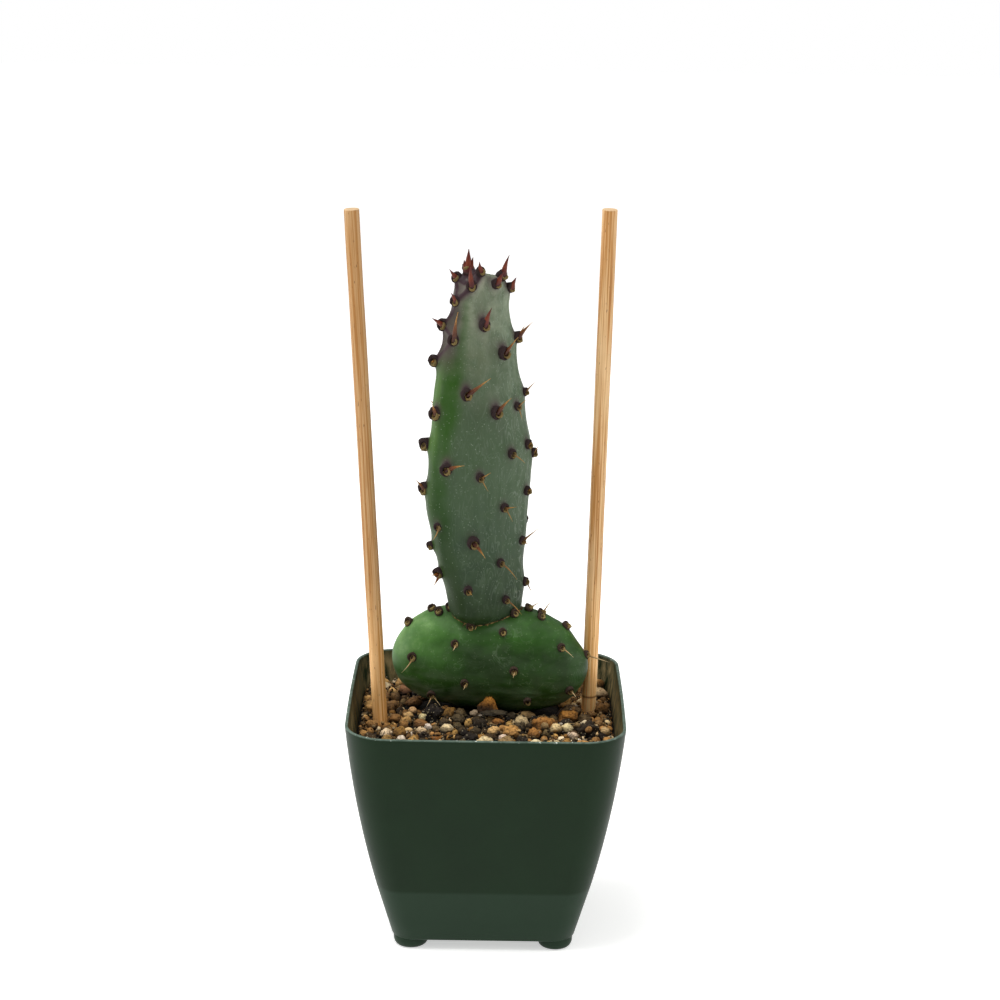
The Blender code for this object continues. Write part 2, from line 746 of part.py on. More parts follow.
def soil_level(x, y):
    """The bed's height: lowest at the walls, heaped round the plant."""
    reach = max(abs(x), abs(y)) / pot_half(SOIL_LEVEL)
    return SOIL_LEVEL + SOIL_MOUND * (1 - min(reach, 1) ** 2)


def wall_distance(x, y, height):
    """How far a place is inside the pot's inner wall."""
    corner = pot_corner(height) - POT_WALL
    flat = pot_half(height) - POT_WALL - corner
    beyond_x, beyond_y = abs(x) - flat, abs(y) - flat
    outside = math.hypot(max(beyond_x, 0), max(beyond_y, 0)) + min(max(beyond_x, beyond_y), 0)
    return corner - outside


def stone_places(draw):
    """(x, y, radius) for stones strewn over the bed, largest first, clear of the walls and each other."""
    places = []
    small, large = STONE_RADII
    for _ in range(STONE_TRIES):
        if len(places) == STONE_COUNT:
            break
        share = 1 - len(places) / STONE_COUNT
        radius = small + (large - small) * share**2 * draw.uniform(1 - STONE_VARIATION, 1)
        half = POT_RIM_WIDTH / 2
        x, y = draw.uniform(-half, half), draw.uniform(-half, half)
        if wall_distance(x, y, SOIL_LEVEL - radius) < radius + 2 * GAP:
            continue
        if any(math.hypot(x - a, y - b) < STONE_SPACING * (radius + c) for a, b, c in places):
            continue
        if clearance(lower_level, Vector((x, y, LOWER_CENTRE.z))) < -STONE_UNDER_PAD:
            continue
        places.append((x, y, radius))
    return places


def add_stones(soil):
    """Fuses rough, squashed stones into the bed, sunk by about half."""
    draw = random.Random(SOIL_SEED)
    stones = new_collection("stones")
    for x, y, radius in stone_places(draw):
        mesh = bmesh.new()
        bmesh.ops.create_icosphere(mesh, subdivisions=1, radius=radius)
        bmesh.ops.scale(mesh, vec=[draw.uniform(*STONE_SQUASH) for _ in range(3)], verts=mesh.verts)
        turn = Matrix.Rotation(draw.uniform(0, math.tau), 3, (draw.random(), draw.random(), draw.random()))
        bmesh.ops.rotate(mesh, cent=(0, 0, 0), matrix=turn, verts=mesh.verts)
        height = soil_level(x, y) + radius * draw.uniform(*STONE_RISE)
        bmesh.ops.translate(mesh, vec=(x, y, height), verts=mesh.verts)
        add_object("stone", mesh, stones)
    fuse(soil, stones)


def make_soil(collection, cutters, material):
    inset = POT_WALL + GAP
    floor = POT_FLOOR_HEIGHT + POT_WALL + GAP
    rings = [pot_outline(floor, inset + SOIL_FLOOR_INSET), pot_outline(floor + SOIL_FLOOR_INSET, inset)]
    rings += [pot_outline(POT_BAND_HEIGHT, inset), pot_outline((POT_BAND_HEIGHT + SOIL_LEVEL) / 2, inset)]
    rim = pot_outline(SOIL_LEVEL, inset)
    for step in range(SOIL_RINGS):
        share = 1 - step / SOIL_RINGS
        rings.append([Vector((p.x * share, p.y * share, soil_level(p.x * share, p.y * share))) for p in rim])
    soil = add_object("soil", ring_loft(rings), collection, material)
    add_stones(soil)
    for cutter in cutters:
        cut(soil, cutter)
    shade(soil)


def main():
    clear_scene()
    plant = new_collection("prickly pear in its pot")
    cutters = new_collection("cutters")
    make_pot(plant, cutters, plain_material("dark green plastic"))
    room = make_pads(plant, cutters, plain_material("mature pad skin"), plain_material("bloomed pad skin"))
    bamboo = plain_material("bamboo")
    holes = [make_stake(name, *ends, plant, cutters, bamboo) for name, ends in STAKES.items()]
    make_soil(plant, [room, *holes], plain_material("gritty soil"))


main()
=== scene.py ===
"""Dresses a potted prickly pear: waxy pads, felted areoles, spines, gritty soil, a nursery pot and bamboo sticks.

Metres, +Z up, the front towards -Y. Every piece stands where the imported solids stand.
"""

import functools
import math
import random

import bmesh
import bpy
import numpy as np
from bpy.props import FloatProperty, FloatVectorProperty, IntProperty, PointerProperty
from mathutils import Matrix, Vector, noise


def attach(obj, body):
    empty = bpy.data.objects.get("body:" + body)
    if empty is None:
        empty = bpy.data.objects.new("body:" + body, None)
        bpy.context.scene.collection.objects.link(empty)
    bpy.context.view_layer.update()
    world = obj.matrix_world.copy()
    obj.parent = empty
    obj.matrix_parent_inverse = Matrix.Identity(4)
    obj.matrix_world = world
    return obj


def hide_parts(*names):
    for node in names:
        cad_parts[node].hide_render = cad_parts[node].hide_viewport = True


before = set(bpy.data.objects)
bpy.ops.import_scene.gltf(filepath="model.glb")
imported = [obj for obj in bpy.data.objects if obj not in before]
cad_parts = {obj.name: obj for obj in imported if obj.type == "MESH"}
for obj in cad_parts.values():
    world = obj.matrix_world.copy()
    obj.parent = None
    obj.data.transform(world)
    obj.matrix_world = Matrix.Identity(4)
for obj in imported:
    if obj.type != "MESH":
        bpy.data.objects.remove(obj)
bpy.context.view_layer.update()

bl_info = {
    "name": "Potted prickly pear",
    "version": (1, 0, 0),
    "blender": (4, 5, 0),
    "location": "3D View > Sidebar > Prickly pear",
    "description": "Builds the plant, its soil, pot and sticks piece by piece, and a studio stage",
    "category": "Add Mesh",
}

UP = Vector((0, 0, 1))
GAP = 0.0003
SHARP_ANGLE = 40

# Pot, as the solids have it, with finer steps
POT_RIM_WIDTH = 0.0960
POT_BAND_WIDTH = 0.0752
POT_BASE_WIDTH = 0.0642
POT_HEIGHT = 0.0848
POT_BAND_HEIGHT = 0.0242
POT_FLOOR_HEIGHT = 0.0037
POT_WALL = 0.0011
POT_SIDE_BOW = 0.0012
POT_RIM_BULGE = 0.0006
POT_BULGE_POWER = 8
POT_RIM_CORNER = 0.0143
POT_BASE_CORNER = 0.0080
POT_FLOOR_ROUNDING = 0.0008
POT_BAND_SOFTNESS = 0.0004
# Waves to the metre along the uneven rim, and how fast they die out below it
RIM_WAVES = 45
RIM_FADE = 12
# Turns of the rounding under the wall, and places up the low band
ROUNDING_TURNS = (0.0, 0.5, 1.0, 1.57)
BAND_PARTS = (0.33, 0.66)
CORNER_STEPS = 14
SIDE_STEPS = 12
WALL_STEPS = 26
LIP_STEPS = 4
FOOT_PLACE = 0.0254
FOOT_RADIUS = 0.0062
FOOT_SEGMENTS = 40
# A foot downwards, as (share of its radius, share of the floor's height)
FOOT_PROFILE = (
    (0.99, 1.18), (1.00, 0.80), (0.99, 0.58), (0.96, 0.38), (0.91, 0.22), (0.84, 0.10), (0.75, 0.03), (0.60, 0.00)
)
DRAIN_RADIUS = 0.0035
DRAIN_PLACE = 0.0150
DRAIN_SEGMENTS = 28

# Soil bed and its heap
SOIL_LEVEL = 0.0740
SOIL_MOUND = 0.0046
SOIL_RINGS = 40
SOIL_FLOOR_INSET = 0.0040
SOIL_SINK = 0.0024
SOIL_ROUGHNESS = 0.0007
SOIL_CELL = 0.0004
# The bed's crumbs, as (waves to the metre, height)
BED_CRUMBS = ((420, 1.0), (1100, 0.6))
STONE_UNDER_PAD = 0.0040
SOIL_SEED = 11
# Root fibres: their parts, the room they take on either side, and their radii
FIBRE_PARTS = 8
FIBRE_CLEAR = 0.0008
FIBRE_RADII = (0.00008, 0.00020)
# Stones by kind: (lumpiness, flattest, facets, tints), and what each kind's material has in turn: its name, the
# size of its pores and how deep their painted shade is, its roughness and the strength of its pale specks
STONE_KINDS = {
    "pumice": (0.22, 0.78, 2, ("#f8d8a0", "#fce4b8", "#ecc68c", "#f8e6cc", "#f4d8a8")),
    "clay": (0.28, 0.78, 1, ("#b4843e", "#c49650", "#9a6c2e", "#d0a25a", "#ac7a38")),
    "gravel": (0.20, 0.70, 3, ("#c48e4e", "#dcaa64", "#a0723a", "#b08046", "#ecbc74", "#7c5a2e")),
    "lava": (0.28, 0.76, 2, ("#74603c", "#90744a", "#5a4626", "#a48454", "#4a3a20")),
    "compost": (0.44, 0.66, 0, ("#2c1f0f", "#3a2913", "#20160a", "#4e391d", "#5e4724")),
}
STONE_FINISHES = {
    "pumice": ("tumbled pumice", 0.0011, 0.34, 0.75),
    "clay": ("fired clay granules", 0.0013, 0.60, 0.70),
    "gravel": ("baked loam grains", 0.0014, 0.38, 0.65),
    "lava": ("crushed lava rock", 0.0008, 0.75, 0.70, 0.12),
    "compost": ("compost crumbs", 0.0007, 0.60, 0.70, 0.55),
}
# A stone's form, with waves to its radius: its swells, its winding cracks, and the small lumps of the larger ones
SWELL_WAVES = 1.2
LUMP_WAVES, LUMP_HEIGHT = 2.7, 0.55
BUMP_WAVES, BUMP_HEIGHT = 6.5, 0.40
CREASE_WAVES, CREASE_WIDTH, CREASE_DEPTH = 1.9, 0.16, 0.45
FACET_DEPTHS = (0.55, 0.85)
FACET_FLATNESS = 0.85
# Painted shade on a stone's tint: its lightness at its middle, how much it rises by its top, the least, and what its
# cracks lose
PAINTED_LIGHT_MIDDLE, PAINTED_LIGHT_RISE, PAINTED_LIGHT_LEAST, CRACK_PAINTED_SHADE = 0.36, 0.90, 0.06, 0.55
# How far stones stand in what they lie on, as a share of their half height
STONE_REST = 0.45
# The orange shard and the flake of bark under it: half sizes and places
SHARD_SIZE, SHARD_PLACE = (0.0036, 0.0018, 0.0040), (0.0013, -0.0042, 0.0818)
FLAKE_SIZE, FLAKE_PLACE = (0.0042, 0.0026, 0.0008), (0.0034, -0.0080, 0.0802)
# Right of this, the mix has more pumice, and the stones' tints are raised as painted light against the wall's shade
PALE_SIDE = 0.018
PALE_SIDE_PAINTED_LIGHT = 1.3
# How light the stones' tints are, and how light the smallest ones are, darkened as painted shade in the gaps they fill
STONE_LIGHT = (0.65, 1.15)
SMALL_STONE_PAINTED_SHADE = 0.48
# Larger stones that catch the eye: (kind, tint, x, y, wide, deep, tall, rise) in millimetres
NOTABLE_STONES = (
    ("pumice", "#fcdeb3", -34.7, -17.8, 4.8, 4.8, 4.6, 1.4),
    ("pumice", "#fce8cd", -29.2, -24.2, 3.9, 3.6, 3.4, 1.2),
    ("pumice", "#fce0ac", -13.8, -18.0, 5.0, 4.4, 3.6, 2.2),
    ("pumice", "#fce8d2", -20.2, -15.6, 2.9, 2.8, 2.7, 1.8),
    ("pumice", "#fcdaa9", -22.4, -17.4, 3.6, 2.8, 3.4, 1.2),
    ("pumice", "#fce0aa", -0.2, -26.3, 5.8, 4.2, 3.4, 1.4),
    ("pumice", "#faddc2", 6.0, -24.1, 3.0, 2.9, 2.9, 1.6),
    ("clay", "#d19951", 8.8, -20.1, 6.2, 5.8, 5.6, 1.8),
    ("clay", "#b67c3a", 20.7, -12.6, 8.5, 7.0, 6.8, 2.0),
    ("clay", "#be8138", 28.5, -1.9, 8.4, 6.4, 5.4, 2.2),
    ("clay", "#b07838", 16.8, -20.0, 4.6, 4.4, 4.2, 1.4),
    ("clay", "#a46d30", 4.0, -10.5, 4.6, 3.6, 3.4, 1.6),
    ("clay", "#a46827", -16.5, -24.4, 6.4, 3.4, 3.0, 1.2),
    ("clay", "#e9a54b", -12.0, -28.4, 4.4, 3.2, 2.8, 1.0),
    ("pumice", "#fcdca0", 24.4, -16.0, 4.6, 4.4, 4.2, 2.2),
    ("pumice", "#fce5ad", 28.6, -15.0, 4.2, 4.2, 4.2, 2.6),
    ("pumice", "#f9dbb8", 30.4, -19.5, 3.8, 3.4, 3.4, 1.8),
    ("gravel", "#9e7e4f", 13.8, -3.6, 6.8, 4.4, 3.6, 1.8),
    ("pumice", "#c7ae8d", -3.9, -3.0, 4.4, 3.6, 2.8, 1.8),
    ("pumice", "#edbe7b", 3.0, -18.2, 4.8, 4.2, 4.0, 1.4),
    ("lava", "#81643f", 30.2, 4.6, 8.6, 6.6, 5.6, 1.8),
    ("lava", "#705836", 35.0, -1.2, 5.4, 5.0, 4.4, 1.8),
    ("pumice", "#dab889", 41.6, 31.0, 6.4, 4.8, 4.2, 1.6),
    ("gravel", "#c79458", 40.6, 39.6, 6.4, 4.8, 4.8, 2.2),
    ("pumice", "#e1be93", 38.6, 18.0, 4.4, 3.8, 3.2, 1.8),
    ("clay", "#825b2b", 41.0, 12.4, 6.8, 5.4, 4.6, 1.8),
    ("gravel", "#946e3f", 37.6, 5.6, 3.6, 3.4, 3.2, 1.6),
    ("gravel", "#aa814f", 40.0, -2.6, 3.4, 3.0, 3.0, 1.6),
    ("pumice", "#eec68b", 42.0, -10.4, 3.8, 3.4, 4.0, 1.8),
    ("gravel", "#d19954", 42.4, -19.0, 3.4, 3.2, 3.4, 1.8),
    ("pumice", "#fce8d4", 37.4, -25.4, 3.6, 2.8, 2.4, 1.2),
    ("pumice", "#fce6b5", 17.4, -26.8, 4.6, 3.6, 2.8, 1.2),
    ("pumice", "#fcdea7", 24.3, -26.6, 5.2, 3.6, 3.0, 1.2),
    ("clay", "#b0813e", 28.6, -25.0, 4.2, 3.4, 3.2, 1.2),
    ("gravel", "#a0723a", -28.6, -11.4, 4.4, 4.0, 3.6, 1.6),
    ("gravel", "#916433", -22.6, -12.4, 5.2, 4.4, 4.2, 1.8),
    ("gravel", "#b6864b", -40.0, -8.4, 3.8, 4.2, 4.8, 2.2),
    ("gravel", "#c29052", -42.6, -16.0, 3.6, 4.6, 3.8, 1.8),
    ("gravel", "#cf9e5c", -40.4, 8.0, 6.6, 5.8, 4.8, 2.6),
    ("gravel", "#a47543", -38.4, 22.0, 5.8, 5.6, 4.4, 2.0),
    ("gravel", "#a97944", -26.2, 10.6, 6.2, 4.8, 4.4, 2.2),
    ("gravel", "#95663f", -29.0, 24.0, 6.4, 6.0, 4.6, 2.4),
    ("gravel", "#eab980", -26.2, 1.6, 3.4, 3.0, 2.8, 2.2),
    ("pumice", "#e4b879", -27.6, -2.2, 4.0, 3.2, 3.0, 1.8),
    ("pumice", "#fce6a9", -22.2, -6.0, 4.4, 3.6, 3.2, 2.0),
    ("gravel", "#b68349", -14.6, 2.0, 3.6, 3.0, 3.2, 1.8),
    ("compost", "#281d11", -5.4, -24.4, 5.6, 5.0, 4.4, 1.4),
    ("compost", "#342817", -2.1, -13.6, 5.2, 4.6, 4.4, 1.8),
    ("lava", "#5d4c2e", -9.6, -9.2, 4.8, 4.4, 4.2, 1.8),
    ("lava", "#665231", -9.2, -3.6, 4.6, 4.0, 4.0, 1.8),
    ("compost", "#2a1f12", 12.6, -25.0, 5.4, 4.4, 3.8, 0.8),
    ("compost", "#251a10", -19.0, -5.6, 7.0, 5.8, 6.6, 2.8),
    ("compost", "#382a19", 35.4, -12.8, 8.0, 7.0, 6.6, 2.0),
    ("compost", "#2f2213", 27.6, -8.8, 5.4, 4.4, 3.8, 1.6),
    ("lava", "#514027", -14.4, -12.6, 4.4, 4.0, 4.0, 1.8),
    ("lava", "#4b3c23", -3.6, -19.2, 4.2, 3.8, 3.8, 1.6),
    ("lava", "#5b4a2f", 12.0, -14.6, 4.4, 3.8, 3.6, 1.6),
)
# Ordinary stones in falling size: (share of their number, radii, icosphere steps, spots tried, least spacing)
STONE_SIZES = (
    (0.4, (0.00200, 0.00300), 3, 24, 0.78),
    (1.2, (0.00140, 0.00210), 2, 20, 0.74),
    (2.2, (0.00085, 0.00150), 2, 12, 0.66),
    (4.6, (0.00045, 0.00085), 1, 4, 0.0),
    (4.0, (0.00020, 0.00040), 1, 2, 0.0),
)

# Lower pad, as the solids have it
LOWER_CENTRE = np.array((0.0010, 0.0080, 0.0958))
LOWER_YAW = math.radians(-6.6)
LOWER_HALF_THICKNESS = 0.0140
LOWER_FULLNESS = 2.3
LOWER_SEGMENTS = (240, 150)
# Its outline in the front view, as (across, up) from its centre
LOWER_OUTLINE = (
    (0.0352, -0.0015),
    (0.0316, 0.0064),
    (0.0255, 0.0132),
    (0.0160, 0.0175),
    (0.0000, 0.0185),
    (-0.0160, 0.0180),
    (-0.0247, 0.0150),
    (-0.0312, 0.0090),
    (-0.0353, 0.0000),
    (-0.0332, -0.0086),
    (-0.0260, -0.0150),
    (-0.0140, -0.0180),
    (0.0020, -0.0190),
    (0.0190, -0.0186),
    (0.0285, -0.0143),
    (0.0340, -0.0070),
)

# Upper pad, as the solids have it
UPPER_FOOT = np.array((0.0000, 0.0050, 0.1090))
UPPER_YAW = math.radians(30)
UPPER_FLATNESS = 0.64
UPPER_SQUARENESS = 2.6
UPPER_FOOT_ROUNDING = 0.0060
UPPER_TOP_ROUNDING = 0.0095
UPPER_SEGMENTS = (190, 260)
UPPER_RING_EVENNESS = 0.55
# Its sections, as (height above its foot, centre across, half width)
UPPER_SECTIONS = (
    (0.0000, -0.0004, 0.0125),
    (0.0130, -0.0012, 0.0144),
    (0.0260, -0.0030, 0.0165),
    (0.0420, -0.0039, 0.0182),
    (0.0610, -0.0036, 0.0188),
    (0.0740, -0.0041, 0.0174),
    (0.0870, -0.0046, 0.0159),
    (0.0990, -0.0044, 0.0136),
    (0.1080, -0.0042, 0.0115),
    (0.1160, -0.0040, 0.0100),
    (0.1278, -0.0031, 0.0087),
)
UPPER_TALL = UPPER_SECTIONS[-1][0]
UPPER_MIDDLE = UPPER_SECTIONS[4][1]
SKIN_RIPPLE = 0.00022
RIPPLE_WAVES = (75, 190)
# How near an areole the folds and the sinking of the tip die out
AREOLE_CALM = 0.0028
# How far the tip sinks between its areoles
SUNK_TIP = 0.0024
# Folds down the pad, with their waves round it and up it, and the swell of its left edge with its height and spread
FOLD_HEIGHT = 0.0009
FOLD_WAVES_ROUND, FOLD_WAVES_UP = 3.2, 22
SIDE_SWELL = 0.0013
SWELL_MIDDLE, SWELL_SPREAD = 0.0440, 0.0085
# Low ridges join the areoles above this height that are no further apart than the span
RIDGE_HEIGHT = 0.2030
RIDGE_SPAN = 0.0130
RIDGE_WIDTH = 0.0017
RIDGE_RISE = 0.0006

# Cups by kind: their size, and the radius and the strength of the purple halo round them
CUP_KINDS = {"leaf": (1.16, 0.0030, 0.92), "stout": (1.28, 0.0027, 0.88), "fine": (0.94, 0.0021, 0.80)}
# Spines by kind: how far they reach out of the skin, their radius and sides, and how soon they grow thin
SPINE_REACH = {"leaf": 0.0020, "stout": 0.0038, "fine": 0.0034}
SPINE_FORMS = {"leaf": (0.00150, 10, 0.9), "stout": (0.00125, 8, 1.3), "fine": (0.00042, 6, 1.0)}
# How much the cups turn to the front, and how much more at the sides
CUP_TURN, SIDE_CUP_TURN = 0.25, 0.6
TUBERCLE_SPREAD = 0.0042
TUBERCLE_BLEND = 4
# How high the rises under the areoles are, by their height above the ground
TUBERCLE_HEIGHTS = (
    (0.070, 0.0002), (0.100, 0.0006), (0.114, 0.0008), (0.130, 0.0005), (0.180, 0.0009), (0.210, 0.0014),
    (0.240, 0.0017),
)
# Those that face the front, as the solids have them: (across, up, kind, tips)
UPPER_AREOLES = (
    (-0.0120, 0.1235, "leaf", ((-0.0027, 0.0034),)),
    (-0.0077, 0.1265, "leaf", ((0.0002, 0.0068), (0.0017, 0.0040), (-0.0014, 0.0030))),
    (-0.0040, 0.1260, "leaf", ((-0.0006, 0.0040),)),
    (-0.0068, 0.1220, "leaf", ((-0.0003, 0.0080),)),
    (0.0010, 0.1225, "leaf", ((0.0022, 0.0045),)),
    (0.0027, 0.1245, "leaf", ((0.0022, 0.0076),)),
    (0.0060, 0.1205, "leaf", ((0.0020, 0.0040), (0.0006, 0.0026))),
    (-0.0114, 0.1170, "leaf", ((-0.0016, 0.0034),)),
    (-0.0170, 0.1080, "leaf", ((-0.0040, 0.0027),)),
    (-0.0027, 0.1090, "leaf", ((0.0023, 0.0067),)),
    (-0.0121, 0.1040, "stout", ((0.0013, 0.0106),)),
    (0.0092, 0.1030, "stout", ((0.0054, 0.0064), (0.0027, 0.0053))),
    (0.0041, 0.0990, "stout", ((0.0045, 0.0065),)),
    (-0.0190, 0.0955, "stout", ((-0.0014, 0.0004),)),
    (-0.0081, 0.0860, "stout", ((0.0080, 0.0068),)),
    (0.0128, 0.0840, "fine", ((0.0038, 0.0045),)),
    (0.0090, 0.0800, "fine", ((0.0032, 0.0036), (0.0016, -0.0039))),
    (0.0020, 0.0790, "stout", ((0.0049, 0.0062),)),
    (-0.0180, 0.0785, "stout", ((-0.0012, 0.0043),)),
    (-0.0225, 0.0660, "stout", ()),
    (0.0129, 0.0660, "fine", ((0.0014, 0.0015), (0.0011, -0.0016))),
    (0.0157, 0.0620, "fine", ((0.0020, 0.0033),)),
    (0.0075, 0.0640, "fine", ((0.0045, -0.0024),)),
    (-0.0144, 0.0600, "stout", ((0.0061, 0.0026),)),
    (-0.0032, 0.0570, "fine", ((0.0036, 0.0029), (0.0028, -0.0040))),
    (-0.0229, 0.0505, "stout", ((-0.0033, 0.0042),)),
    (0.0129, 0.0495, "fine", ((0.0018, 0.0015),)),
    (0.0052, 0.0450, "fine", ((0.0042, 0.0014), (0.0029, -0.0040))),
    (-0.0170, 0.0390, "fine", ((-0.0020, -0.0042),)),
    (0.0115, 0.0315, "fine", ((0.0062, 0.0058), (0.0027, -0.0009))),
    (-0.0053, 0.0335, "stout", ((0.0042, -0.0042),)),
    (-0.0205, 0.0300, "fine", ()),
    (0.0042, 0.0250, "fine", ((0.0057, -0.0050),)),
    (-0.0167, 0.0205, "stout", ((-0.0029, 0.0000), (-0.0022, -0.0041))),
    (0.0132, 0.0155, "fine", ((0.0027, -0.0041),)),
    (-0.0068, 0.0160, "fine", ((0.0014, -0.0006),)),
    (0.0062, 0.0110, "fine", ((0.0056, -0.0045),)),
)
LOWER_AREOLES = (
    (-0.0222, 0.0167, "fine", ()),
    (-0.0298, 0.0117, "fine", ()),
    (-0.0181, 0.0167, "fine", ()),
    (-0.0141, 0.0182, "fine", ()),
    (0.0046, 0.0127, "fine", ()),
    (-0.0121, 0.0082, "fine", ((-0.0008, -0.0014),)),
    (-0.0271, 0.0017, "fine", ((-0.0039, -0.0048),)),
    (0.0140, 0.0182, "fine", ((0.0038, 0.0027),)),
    (0.0190, 0.0167, "fine", ((0.0036, 0.0057),)),
    (0.0179, 0.0162, "fine", ()),
    (0.0271, 0.0122, "fine", ((0.0030, 0.0006),)),
    (0.0250, 0.0072, "fine", ((0.0043, -0.0024),)),
    (0.0349, 0.0022, "fine", ((0.0082, -0.0019),)),
    (0.0086, -0.0003, "fine", ((-0.0003, -0.0013),)),
    (-0.0086, -0.0058, "fine", ((-0.0005, -0.0012),)),
    (-0.0203, -0.0118, "fine", ((-0.0019, -0.0036), (0.0034, -0.0034))),
    (0.0136, -0.0120, "fine", ()),
    (0.0282, -0.0085, "fine", ((0.0025, -0.0018),)),
)
# Areoles by rule: their spacing, how clear they stay of the seen ones, how far their rows wander, and how much the
# skin has to face the back to bear one
BACK_SPACING = 0.0118
BACK_CLEAR = 0.0090
BACK_JITTER = 0.0010
BACK_FACING = 0.35
BACK_SEED = 5
LOWER_LATTICE = 48
# How much of the lower pad stays bare above the soil, by the upper pad and by the seam
LOWER_BARE = 0.0090
JUNCTION_BARE = 0.0022
SEAM_BARE = 0.0005
# How far a spine by rule leans to one side and rises, and the heights above which it is a leaf or stout
SPIKE_LEAN = 0.0030
SPIKE_RISE = (0.0010, 0.0050)
LEAF_HEIGHT = 0.2160
STOUT_HEIGHT = 0.1610
# Steps of the search for a pad's front and for the seam, and of the slopes of a level function
SEARCH_START = -0.0200
SEARCH_STEP = 0.0005
SEARCH_STEPS = 100
SLOPE_STEP = 0.0002
EDGE_TRIES = 60
FRONT_HALVINGS = 12
SEAM_HALVINGS = 24

# Cup of an areole: half width, half height, thickness of its felted rim
CUP = (0.00128, 0.00148, 0.00056)
CUP_ROOT = 0.0013
# The inner ring's share of the cup, and the tones of both rings
CUP_RINGS = ((1, 0.16), (0.6, 0.6))
# How far the old pad's areoles have weathered to a greyer brown
WORN_TONE = 0.12
FELT_TONE = 0.33
FELT_ROOT_TONE = 0.12
FELT_THICKNESS = 0.00110
FELT_SINK = 0.00050
# The rim's thickness before it is drawn out to the cup's
CUP_TUBE = 0.3
CUP_STEPS = 18
CUP_SIDES = 8
CUP_SEED = 3
SPINE_RINGS = 9
SPINE_TIP = 0.05
SPINE_SEED = 7
# Where in its cup a spine stands and how deep, and how far apart, how low and how stout the leaves of a tuft are
SPINE_SEAT = (0.0002, -0.0001, 0.0001)
SPINE_SINK = 0.0006
TUFT_SPREAD, TUFT_SINK, TUFT_STOUTNESS = 0.4, 0.0016, 1.55
# The seam, the share of its points that bear a bristle, and the places across of the areoles on its front
SCAR_STEPS = 96
SCAR_RADIUS = 0.00020
SCAR_BRISTLES = 0.20
SEAM_AREOLES = (-0.0056, 0.0090)

# Sticks: each by where it leaves the soil, the middle of its top, and its node rings from the lower end
STAKE_RADIUS = 0.0027
STAKE_LENGTH = 0.2140
STAKE_SIDES = 32
STAKE_RINGS = 90
STAKE_CHAMFER = 0.00022
NODE_RING_WIDTH = 0.0004
NODE_RING_STEP = 0.0003
STAKES = {
    "stake_left": (Vector((-0.0376, -0.0030, 0.0755)), Vector((-0.0476, -0.0030, 0.2575)), ()),
    "stake_right": (Vector((0.0368, 0.0115, 0.0750)), Vector((0.0399, 0.0100, 0.2566)), (0.0378,)),
}

# Studio: the camera that the photograph fits, in metres and degrees
CAMERA_PLACE = (0.00380, -0.8589, 0.3910)
CAMERA_DOWN = 15.31
CAMERA_ROLL = 0.84
CAMERA_LENS = 92.15
FLOOR_SIZE = 3
# Softboxes and the ceiling: (name, place, size, the setting of its power, what it points at)
LIGHTS = (
    ("ceiling of light", (0, 1.5, 4.0), (14, 14), "overhead", (0, 1.5, 0)),
    ("top softbox", (-0.25, -0.30, 1.20), (0.45, 0.45), "top", (0, 0, 0.12)),
    ("left softbox", (-1.00, 0.05, 0.40), (0.6, 1.2), "key", (0, 0, 0.12)),
    ("right softbox", (1.00, -0.20, 0.45), (0.6, 1.2), "fill", (0, 0, 0.12)),
)

# Water-filled flesh just under a pad's skin
MOIST_FLESH = {
    "IOR": 1.45,
    "Subsurface_Weight": 0.06,
    "Subsurface_Radius": (0.6, 1.0, 0.4),
    "Subsurface_Scale": 0.001,
}


def linear(code):
    """An sRGB hex colour as linear red, green and blue."""
    parts = [int(code[i : i + 2], 16) / 255 for i in (1, 3, 5)]
    return tuple(part / 12.92 if part <= 0.04045 else ((part + 0.055) / 1.055) ** 2.4 for part in parts)


def rgba(tone):
    """A colour with its alpha, from sRGB hex or from linear red, green and blue."""
    return (*(linear(tone) if isinstance(tone, str) else tone), 1)


# Settings


def colour(name, description, code):
    return FloatVectorProperty(
        name=name, description=description, default=linear(code), size=3, min=0, max=1, subtype="COLOR"
    )


def length(name, description, default, most):
    return FloatProperty(
        name=name, description=description, default=default, min=0, max=most, precision=5, unit="LENGTH"
    )


def power(name, description, default):
    return FloatProperty(name=name, description=description, default=default, min=0, unit="POWER")


class PotSettings(bpy.types.PropertyGroup):
    plastic: colour("Plastic", "Colour of the moulded pot", "#112512")
    edge: colour("Rim edge", "Colour of the rim's scuffed edge", "#64756a")
    stain: colour("Soil stain", "Colour of the dried soil inside the rim", "#9a8860")
    lip: length("Lip", "Radius rolled on the rim's edges", 0.0004, 0.0005)
    dip: length("Unevenness", "How far the rim dips in places", 0.0003, 0.001)


class SoilSettings(bpy.types.PropertyGroup):
    stones: IntProperty(name="Stones", description="Number of the largest ordinary stones", default=230, min=0, max=500)
    bed: colour("Bed", "Colour of the fine compost between the stones", "#120c06")
    fibres: IntProperty(name="Fibres", description="Number of loose root fibres", default=46, min=0, max=200)
    fibre_length: length("Fibre length", "Length of the longest loose fibre", 0.012, 0.03)


class SkinSettings(bpy.types.PropertyGroup):
    bloom: colour("Bloom", "Grey-green of the upper pad's wax bloom", "#404f38")
    bloom_light: colour("Bloom at the top", "Paler bloom near the tip", "#989c87")
    bare: colour("Bare skin", "Green where the upper pad's bloom is rubbed off", "#25480a")
    margin: colour("Margin", "Lighter green along the upper pad's left edge", "#4a6e2a")
    blush: colour("Blush", "Purple-brown tint round the areoles and at the tip", "#2c181e")
    old: colour("Old skin", "Deep green of the lower pad", "#2c5219")
    old_light: colour("Old skin in light", "Lighter green of the lower pad's shoulder", "#729a58")
    ripple: length("Ripple", "Height of the skin's slight unevenness", SKIN_RIPPLE, 0.001)


